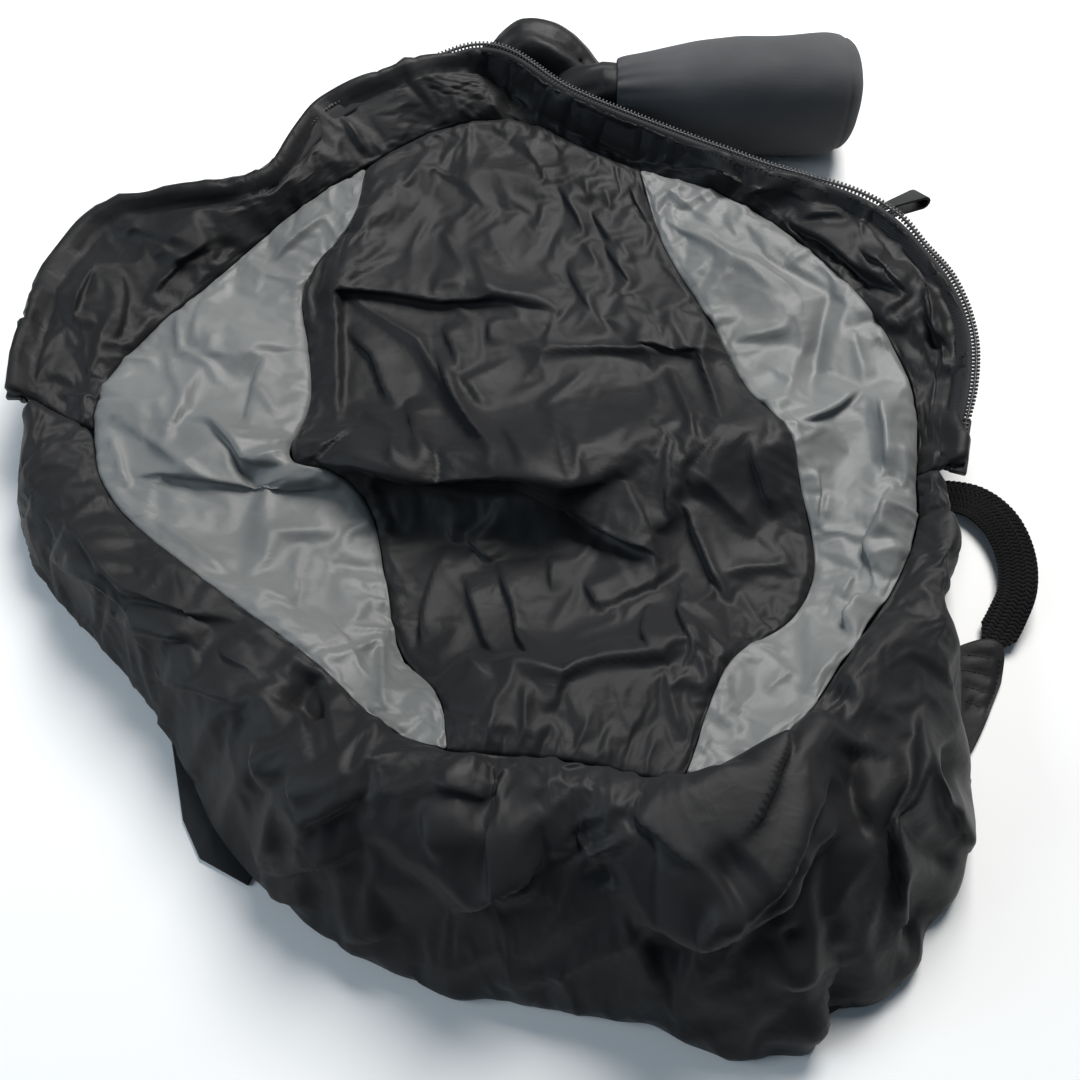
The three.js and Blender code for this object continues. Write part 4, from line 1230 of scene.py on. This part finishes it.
RIM_TUCKS = (
    (((770, 212), (830, 245), (880, 285), (905, 305)), 7, 14),
    (((850, 238), (880, 262), (910, 300)), 5, 9),
    (((880, 222), (915, 245), (937, 268)), 4, 8),
    (((918, 280), (925, 315), (948, 345)), 5, 9),
    (((690, 150), (720, 168), (745, 182)), 4, 9),
    (((735, 190), (790, 182), (830, 194)), 4, 10),
    (((75, 330), (90, 285), (105, 255)), 4, 8),
    (((118, 345), (128, 300), (125, 265)), 4, 8),
    (((150, 300), (185, 262), (225, 235)), 4, 10),
)


def sag_from_zip(places, zip_line):
    """How far the rim hangs below the zip's edge."""
    edge = search_tree([(x, y, 0) for x, y in zip_line[:, :2]])
    found = [edge.find((x, y, 0)) for x, y in places[:, :2]]
    away = np.array([gap for _, _, gap in found])
    rise = np.clip((away - SAG_START) / (SAG_DEEPEST - SAG_START), 0, 1)
    fall = np.clip((SAG_END - away) / (SAG_END - SAG_DEEPEST), 0, 1)
    shares = np.array([index for _, index, _ in found]) / len(zip_line)
    depth = np.interp(shares, *zip(*SAG_ALONG_ZIP)) * MM
    return depth * rise * rise * (3 - 2 * rise) * fall * fall * (3 - 2 * fall)


rim = panel_skin("front_gusset", "rim_cloth", levels=3)
reach_over_zip(rim, "front")
facts = skin_facts(rim)
lift = press_creases(rim, facts, RIM_CREASES)
lift += scatter_creases(
    facts, seed=41, count=90, heading=80, scatter=50, length=(15, 50), height=(0.4, 1.4), width=(2.0, 4.5)
)
lift += pucker_seams(facts, seed=42, count=130, length=(10, 30), height=(0.4, 1.5), width=(1.6, 3.2))
facts["places"] += press_tucks(rim, facts, RIM_TUCKS, passes=1)
facts["places"][:, 2] -= sag_from_zip(facts["places"], zip_lines["front"])
tape = bpy.data.objects["zip_tape_front_cloth"]
tape_places = read_places(tape)
tape_places[:, 2] -= sag_from_zip(tape_places, zip_lines["front"])
write_places(tape, tape_places)
fold_skin(rim, facts, lift, spare=(0.028, 0.028), hold=0.06, bending=0.02)
finish_cloth(rim, BLACK_NYLON, "front_gusset", "black_nylon")
first, last = (round(share * len(zip_lines["front"])) for share in SEWN_SHARE)
sewn = zip_lines["front"][first:last]
stitch_rows("rim_stitches", rim, [sewn[:, 3:] + STITCH_OFFSET * (sewn[:, :3] - sewn[:, 3:])])

# %% [markdown]
# ## Lower sides and bottom
# The bottom gusset is the wall below the ends of the zip, with the bag's bottom. With nothing inside, it has
# fallen into deep folds: pockets along its seam with the front, pinches at its middle, and long diagonal
# valleys at the right.

# %% Lower sides and bottom
BOTTOM_TUCKS = (
    (((45, 520), (80, 545), (105, 580), (130, 598), (165, 612), (200, 622), (285, 637)), 6, 14),
    (((50, 560), (100, 590), (145, 625)), 4, 10),
    (((80, 630), (140, 635), (200, 645)), 4, 12),
    (((155, 680), (200, 690), (245, 712)), 5, 12),
    (((215, 650), (235, 665), (255, 680)), 4, 8),
    (((250, 742), (258, 785)), 5, 12),
    (((290, 770), (298, 800)), 4, 9),
    (((300, 845), (320, 820), (345, 808), (380, 797)), 6, 15),
    (((260, 860), (275, 845), (285, 835)), 4, 9),
    (((270, 880), (310, 868), (375, 857)), 7, 16),
    (((345, 935), (370, 938), (400, 933)), 6, 12),
    (((420, 800), (428, 835), (435, 850)), 4, 12),
    (((430, 788), (470, 797), (488, 800)), 4, 9),
    (((488, 800), (500, 785), (512, 770)), 3, 6),
    (((465, 924), (480, 902), (520, 884), (562, 863)), 10, 20),
    (((490, 906), (520, 900), (545, 885)), 3, 6),
    (((545, 852), (580, 852)), 3, 8),
    (((570, 832), (592, 862)), 5, 9),
    (((620, 820), (660, 838), (695, 864)), 7, 16),
    (((700, 865), (687, 892), (675, 912)), 5, 9),
    (((700, 866), (745, 825), (770, 800), (790, 770), (800, 730), (845, 690)), 11, 22),
    (((690, 920), (720, 900), (760, 860), (800, 815), (850, 770)), 6, 11),
    (((760, 875), (800, 862), (830, 845), (847, 825)), 7, 10),
    (((630, 946), (660, 934), (705, 940), (740, 923), (790, 894), (825, 868)), 13, 26),
    (((760, 985), (790, 978), (820, 970)), 8, 15),
    (((812, 1045), (830, 1010), (845, 985), (862, 968)), 10, 18),
    (((910, 700), (910, 750), (898, 790), (885, 830), (890, 900), (902, 955)), 10, 18),
    (((905, 760), (930, 800), (950, 840), (970, 872)), 10, 14),
    (((560, 772), (590, 768)), 3, 8),
)
BOTTOM_FOLDS = (
    (((287, 712), (300, 690), (320, 668)), -8, 5, 1.5),
    (((300, 714), (325, 704)), -8, 6, 1.2),
    (((275, 905), (300, 895), (325, 900)), 5, 8, 0.5),
    (((487, 800), (491, 850), (480, 900)), 7, 13, 1.0),
    (((585, 820), (600, 850)), -6, 5, 1.2),
    (((600, 860), (615, 890)), -4, 3, 1.4),
    (((700, 862), (715, 850), (730, 840)), -9, 6, 1.4),
    (((670, 920), (700, 885), (740, 850), (780, 800), (800, 760), (845, 700)), 9, 11, 1.0),
    (((785, 915), (790, 945)), -5, 4, 1.3),
    (((855, 745), (858, 770), (850, 795)), -6, 4, 1.4),
    (((850, 770), (860, 805), (875, 848)), -7, 4, 1.3),
    (((905, 920), (920, 945)), -6, 4, 1.3),
    (((940, 745), (955, 790)), -7, 6, 1.3),
    (((490, 985), (560, 970), (620, 945), (660, 930)), 3, 4, 0.6),
    (((640, 960), (665, 955), (695, 960)), -9, 9, 1.2),
    (((895, 800), (925, 840), (955, 868)), -6, 5, 1.2),
    (((810, 720), (830, 700), (850, 680)), -7, 5, 1.2),
)
# Points of the picture on the bag's outline, and how far the cloth stands out there, or in, in mm.
OUTLINE_LUMPS = (
    (948, 482, 9), (956, 602, -12), (960, 638, -22), (945, 800, -8), (972, 845, -2), (920, 922, -10),
    (926, 950, 4), (880, 985, 2), (838, 1008, -11), (812, 1048, 6), (745, 1053, 3), (655, 1035, -4),
    (490, 990, -3), (455, 995, 2), (270, 903, -3),
)
OUTLINE_HEIGHT = 12 * MM
LUMP_WIDTH = 12 * MM


def press_outline(places, rows):
    """Moves the foot of the wall out or in round points of the outline."""
    for across, down, out in rows:
        start, direction = pixel_ray(across, down)
        spot = start + direction * ((OUTLINE_HEIGHT - start.z) / direction.z)
        away = np.hypot(places[:, 0] - spot.x, places[:, 1] - spot.y)
        outward = np.array((spot - AIM).to_2d().normalized())
        places[:, :2] += (out * MM * np.exp(-((away / LUMP_WIDTH) ** 2)))[:, None] * outward


bottom = panel_skin("bottom_gusset", "bottom_cloth", levels=3)
facts = skin_facts(bottom)
lift = press_creases(bottom, facts, BOTTOM_FOLDS) * seam_fade(facts)
crumples = sharp_crumple(facts, seed=51, size=40, height=3.5, heading=40, stretch=1.6)
crumples += sharp_crumple(facts, seed=53, size=15, height=1.0, heading=60, stretch=2.0)
lift += crumples
lift += pucker_seams(facts, seed=52, count=80, length=(12, 45), height=(0.4, 1.4), width=(2, 4))
facts["places"] += press_tucks(bottom, facts, BOTTOM_TUCKS, passes=2)
press_outline(facts["places"], OUTLINE_LUMPS)
fold_skin(bottom, facts, lift, spare=(0.025, 0.02), hold=0.1, bending=0.02)
finish_cloth(bottom, BLACK_NYLON, "bottom_gusset", "black_nylon")

# %% [markdown]
# ## Back
# The back gusset and the back panel lie under the rest, so they are finished plainly, with a few soft creases.
# Only at the bag's top, beside the neck of the pouch, does the back wall swell up into sight.

# %% Back
BACK_CREASES = (
    (((492, 44), (522, 50), (550, 66), (575, 88), (600, 106)), 16.0, 18, 0.8),
    (((520, 40), (545, 55), (570, 80)), 3.0, 4, 0.5),
    (((555, 50), (580, 75)), -3.0, 3, 1.2),
    (((585, 75), (600, 105)), 3.0, 4, 0.5),
)
for node, name, seed, flat, area, rows, levels in (
    ("back_gusset", "back_wall_cloth", 61, (0.05, 1.05), 0.048, BACK_CREASES, 3),
    ("back_panel", "back_cloth", 71, (0.52, 0.58), 0.21, (), 2),
):
    back = panel_skin(node, name, levels)
    if node == "back_gusset":
        reach_over_zip(back, "back")
    facts = skin_facts(back)
    lift = press_creases(back, facts, rows)
    lift += scatter_creases(
        facts, seed=seed, count=50, heading=90, scatter=50, length=(25, 80), height=(0.3, 0.9), width=(4, 8)
    )
    fold_skin(back, facts, lift, spare=(0.03, 0.03), hold=0.08, bending=0.03)
    finish_cloth(back, BLACK_NYLON, node, "black_nylon")

# %% [markdown]
# ## Small hard pieces
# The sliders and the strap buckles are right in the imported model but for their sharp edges, so they are
# copies with eased edges.

# %% Sliders and buckles
FLAT, SHARP, SHADED_SHARP = math.radians(1), math.radians(25), math.radians(40)
SLIDER_EASE, BUCKLE_EASE = 0.5 * MM, 0.6 * MM


def eased_solid(node, name, ease):
    """A copy of a node with its sharp edges rounded."""
    bm = node_copy(node)
    bmesh.ops.dissolve_limit(bm, angle_limit=FLAT, verts=bm.verts, edges=bm.edges)
    edges = [edge for edge in bm.edges if edge.calc_face_angle(0) > SHARP]
    bmesh.ops.bevel(
        bm, geom=edges, offset=ease, affect="EDGES", segments=2, profile=0.5, material=-1, clamp_overlap=True
    )
    return new_piece(name, bm)


for side in ("left", "right"):
    slider = eased_solid(f"zip_slider_{side}", f"slider_{side}", SLIDER_EASE)
    finish_solid(slider, SLIDER_METAL, "slider_metal", f"zip_slider_{side}")
    strap_buckle = eased_solid(f"strap_buckle_{side}", f"buckle_{side}", BUCKLE_EASE)
    finish_solid(strap_buckle, BUCKLE_PLASTIC, "buckle_plastic", f"strap_buckle_{side}")
    for piece in (slider, strap_buckle):
        piece.data.set_sharp_from_angle(angle=SHADED_SHARP)

# %% [markdown]
# ## Pouch
# The pouch is a soft stretchy sleeve, sewn shut at its far end and open where the bag goes in. The packed
# solid has its size, so a copy is rounded, given slow dents, a sewn ring near its end and small folds at its
# mouth, where a gathered neck joins it to the bag.

# %% Pouch and neck
SOFT_BEND = math.radians(50)
# Slow dents of the sleeve: depth, scale and seed.
DENTS = ((2.6 * MM, 16, 1), (0.7 * MM, 48, 2))
END_SEAM, END_SEAM_DEPTH, END_SEAM_WIDTH = 12 * MM, 0.9 * MM, 1.2 * MM
END_ROUND, END_DRAW = 26 * MM, 0.2
GATHER_DEPTH, GATHER_REACH, GATHER_SCALE, GATHER_SEED = 1.8 * MM, 18 * MM, 4.5, 3
# The neck is pushed into the sleeve at one end and spreads at the other, with crumples along it.
NECK_PUSH = 9 * MM
NECK_SWELL, NECK_SPREAD, NECK_SQUEEZE = 0.18, 0.5, 0.36
NECK_CRUMPLE, NECK_STRETCH, NECK_SCALE, NECK_SEED = 2.4 * MM, (0.4, 1.6, 1.6), 70, 4


def soft_solid(node, name, levels):
    """A rounded copy of a soft node."""
    bm = node_copy(node)
    to_quads(bm, SOFT_BEND)
    piece = new_piece(name, bm)
    refine(piece, levels)
    return piece


def write_flat(piece, flat):
    """Sets the flat pattern from a place for each vertex."""
    mesh = piece.data
    layer = mesh.uv_layers.get("flat") or mesh.uv_layers.new(name="flat")
    loops = np.empty(len(mesh.loops), int)
    mesh.loops.foreach_get("vertex_index", loops)
    layer.data.foreach_set("uv", flat[loops].ravel())


def sleeve_pattern(piece):
    """The flat pattern of a sleeve along X, and each vertex's direction away from its axis."""
    places = read_places(piece)
    low, high = places.min(0), places.max(0)
    middle = (low + high) / 2
    away = places - middle
    away[:, 0] = 0
    radius = np.linalg.norm(away, axis=1)
    around = np.arctan2(away[:, 1], away[:, 2]) * (high - low)[1:].mean() / 2
    write_flat(piece, np.column_stack([around, places[:, 0]]))
    return places, away / np.maximum(radius, MM)[:, None], radius


def slow_noise(places, scale, seed):
    """A smooth random value from about -1 to 1 at each place."""
    return np.array([noise.noise(Vector(place) * scale + Vector((seed, 0, 0))) for place in places])


pouch = soft_solid("pouch", "pouch_sleeve", levels=3)
places, away, radius = sleeve_pattern(pouch)
end = places[:, 0].max()
mouth = places[:, 0].min()
dent = sum(depth * slow_noise(places, scale, seed) for depth, scale, seed in DENTS)
seam = -END_SEAM_DEPTH * np.exp(-(((places[:, 0] - end + END_SEAM) / END_SEAM_WIDTH) ** 2))
gathered = np.exp(-(places[:, 0] - mouth) / GATHER_REACH)
gather = gathered * GATHER_DEPTH * slow_noise(away, GATHER_SCALE, GATHER_SEED)
drawn = -END_DRAW * radius * np.clip((places[:, 0] - end + END_ROUND) / END_ROUND, 0, 1) ** 2
write_places(pouch, places + away * (dent + seam + gather + drawn)[:, None])
finish_solid(pouch, POUCH_CLOTH, "pouch_cloth", "pouch")

neck = soft_solid("pouch_neck", "pouch_neck_cloth", levels=3)
places, away, radius = sleeve_pattern(neck)
low, high = places[:, 0].min(), places[:, 0].max()
inside = np.clip((places[:, 0] - high + NECK_PUSH) / NECK_PUSH, 0, 1)
flare = np.clip((low + 2 * NECK_PUSH - places[:, 0]) / (2 * NECK_PUSH), 0, 1)
crumpled = NECK_CRUMPLE * slow_noise(places * NECK_STRETCH, NECK_SCALE, NECK_SEED) * (1 - inside)
swollen = radius * (NECK_SWELL + NECK_SPREAD * flare - NECK_SQUEEZE * inside)
places[:, 0] += NECK_PUSH * (inside - flare)
write_places(neck, places + away * (crumpled + swollen)[:, None])
finish_solid(neck, BLACK_NYLON, "black_nylon", "pouch_neck")

# %% [markdown]
# ## Webbing
# The strap's webbing leaves the bag at the right, turns over and comes back to a sewn tab. It is a ribbon
# along a few given stations, tilted as it turns. Its herringbone is coarse enough to be real relief.

# %% Webbing
WEBBING_WIDTH = 20 * MM
WEBBING_THICKNESS = 1.5 * MM
WEBBING_CELL = 0.5 * MM
RIB_PITCH = 2.4 * MM
RIB_HEIGHT = 0.5 * MM
CHEVRON_WIDTH, CHEVRON_DEPTH = 5 * MM, 1.5 * MM
# Under the tab the webbing is drawn together to this share of its width.
SEWN_WIDTH, SEWN_RUN = 0.55, 9 * MM


def webbing_ribbon(name, stations):
    """A woven ribbon along stations of x, y, z and tilt in degrees."""
    line = even_line(stations, WEBBING_CELL)
    cells = round(WEBBING_WIDTH / WEBBING_CELL)
    bm = bmesh.new()
    bmesh.ops.create_grid(bm, x_segments=len(line) - 1, y_segments=cells, size=0.5)
    flat = []
    ahead = np.gradient(line[:, :3], axis=0)
    for vertex in bm.verts:
        row = min(round((vertex.co.x + 0.5) * (len(line) - 1)), len(line) - 1)
        run = row * WEBBING_CELL
        to_end = (len(line) - 1) * WEBBING_CELL - run
        aside = vertex.co.y * WEBBING_WIDTH * (SEWN_WIDTH + (1 - SEWN_WIDTH) * ramp(to_end, 0, SEWN_RUN))
        forward = Vector(ahead[row]).normalized()
        side = UP.cross(forward).normalized()
        side.rotate(Matrix.Rotation(math.radians(line[row, 3]), 3, forward))
        normal = forward.cross(side)
        chevron = CHEVRON_DEPTH * abs(2 * (aside / CHEVRON_WIDTH % 1) - 1)
        rib = 0.5 + 0.5 * math.sin(2 * math.pi * (run + chevron) / RIB_PITCH)
        vertex.co = Vector(line[row, :3]) + side * aside + normal * (WEBBING_THICKNESS + rib * RIB_HEIGHT)
        flat.append((aside, run))
    bmesh.ops.recalc_face_normals(bm, faces=bm.faces)
    ribbon = new_piece(name, bm)
    write_flat(ribbon, np.array(flat))
    return ribbon, len(line) * WEBBING_CELL


# Stations of x, y and z in mm and of tilt in degrees, measured from the middle of the bag's front.
FRONT_MIDDLE = Vector((13.673, -74.703, 0))
WEBBING_ROUTE = (
    (214, 46, 0.4, 0), (230, 47, 1.4, 3), (246, 40, 5.8, 14), (257, 24, 8.8, 26),
    (261, 3, 9.4, 30), (258, -17, 8.4, 26), (249, -33, 4.6, 8), (239.5, -46, 1.8, 1),
)
stations = [
    ((x + FRONT_MIDDLE.x) * MM, (y + FRONT_MIDDLE.y) * MM, z * MM, tilt) for x, y, z, tilt in WEBBING_ROUTE
]
ribbon, length = webbing_ribbon("webbing_right", stations)
thicken(ribbon, WEBBING_THICKNESS)
finish_solid(ribbon, WEBBING, "webbing", "strap_webbing_right")
print(ribbon.name, "length:", round(length, 3))

# %% [markdown]
# ## Straps, tabs and loop
# The shoulder straps are thin padded cloth under the bag, out of sight, so they are rounded copies with a
# plain finish. The right tab is a folded patch that holds the webbing with rows of stitches; the left tab and
# its webbing are copies with eased edges. The hang loop is a narrow folded tape behind the zip.

# %% Straps, tabs and loop
TAB_RISE = 4.4 * MM
TAB_RISE_WIDTH = 15 * MM
TAB_HEM = 0.8 * MM
TAB_EASE, WOVEN_EASE = 0.5 * MM, 0.4 * MM
LOOP_TWIST, LOOP_TWIST_RUN, LOOP_PULL = math.radians(70), 30 * MM, 1.35
# How the thread draws the tab in, as a crease's height, width and flank, and points of the picture on its rows.
TAB_SEAM_PULL = (-0.9, 2.0, 1.0)
TAB_SEAMS = (
    ((958, 654), (978, 656), (998, 661)),
    ((957, 669), (976, 672), (996, 678)),
    ((961, 685), (976, 689), (991, 696)),
    ((966, 701), (976, 705), (986, 711)),
    ((1000, 660), (996, 688), (982, 720)),
)


def plan_pattern(piece):
    """The flat pattern of a piece that lies flat: its plan."""
    write_flat(piece, read_places(piece)[:, :2])


for side in ("left", "right"):
    strap = soft_solid(f"shoulder_strap_{side}", f"strap_{side}", levels=2)
    plan_pattern(strap)
    finish_solid(strap, STRAP_CLOTH, "strap_cloth", f"shoulder_strap_{side}")

tab = panel_skin("strap_tab_right", "tab_right", levels=5)
facts = skin_facts(tab)
away = np.hypot(*(facts["places"][:, :2] - np.array(stations[-1][:2])).T)
facts["places"][:, 2] += TAB_RISE * np.exp(-((away / TAB_RISE_WIDTH) ** 2))
lift = press_creases(tab, facts, [(row, *TAB_SEAM_PULL) for row in TAB_SEAMS])
lift += scatter_creases(
    facts, seed=81, count=14, heading=120, scatter=40, length=(10, 25), height=(0.3, 0.8), width=(1.5, 3.0)
)
write_places(tab, facts["places"] + facts["normals"] * lift[:, None])
sight = skin_facts(tab)["sight"]
seams = [[sight.ray_cast(*pixel_ray(*point))[0] for point in row] for row in TAB_SEAMS]
seams = [[list(place) for place in row if place is not None] for row in seams]
finish_cloth(tab, BLACK_NYLON, "strap_tab_right", "black_nylon", TAB_HEM)
stitch_rows("tab_stitches", tab, [row for row in seams if len(row) > 1])

hidden_tab = eased_solid("strap_tab_left", "tab_left", TAB_EASE)
plan_pattern(hidden_tab)
finish_solid(hidden_tab, BLACK_NYLON, "black_nylon", "strap_tab_left")

hidden_webbing = eased_solid("strap_webbing_left", "webbing_left", WOVEN_EASE)
plan_pattern(hidden_webbing)
finish_solid(hidden_webbing, WEBBING, "webbing", "strap_webbing_left")

loop = eased_solid("hang_loop", "hang_loop_tape", WOVEN_EASE)
places = read_places(loop)
near = min(places, key=lambda place: place[0])
far = max(places, key=lambda place: place[0])
along = Vector((far[0] - near[0], far[1] - near[1], 0)).normalized()
middle = (places.min(0) + places.max(0)) / 2
start = Vector((near[0], near[1], middle[2]))
for vertex in loop.data.vertices:
    off = vertex.co - start
    run = off.dot(along)
    aside = off - run * along
    aside.rotate(Matrix.Rotation(LOOP_TWIST * ramp(run, 0, LOOP_TWIST_RUN), 3, along))
    vertex.co = start + LOOP_PULL * run * along + aside
plan_pattern(loop)
finish_solid(loop, BLACK_NYLON, "black_nylon", "hang_loop")
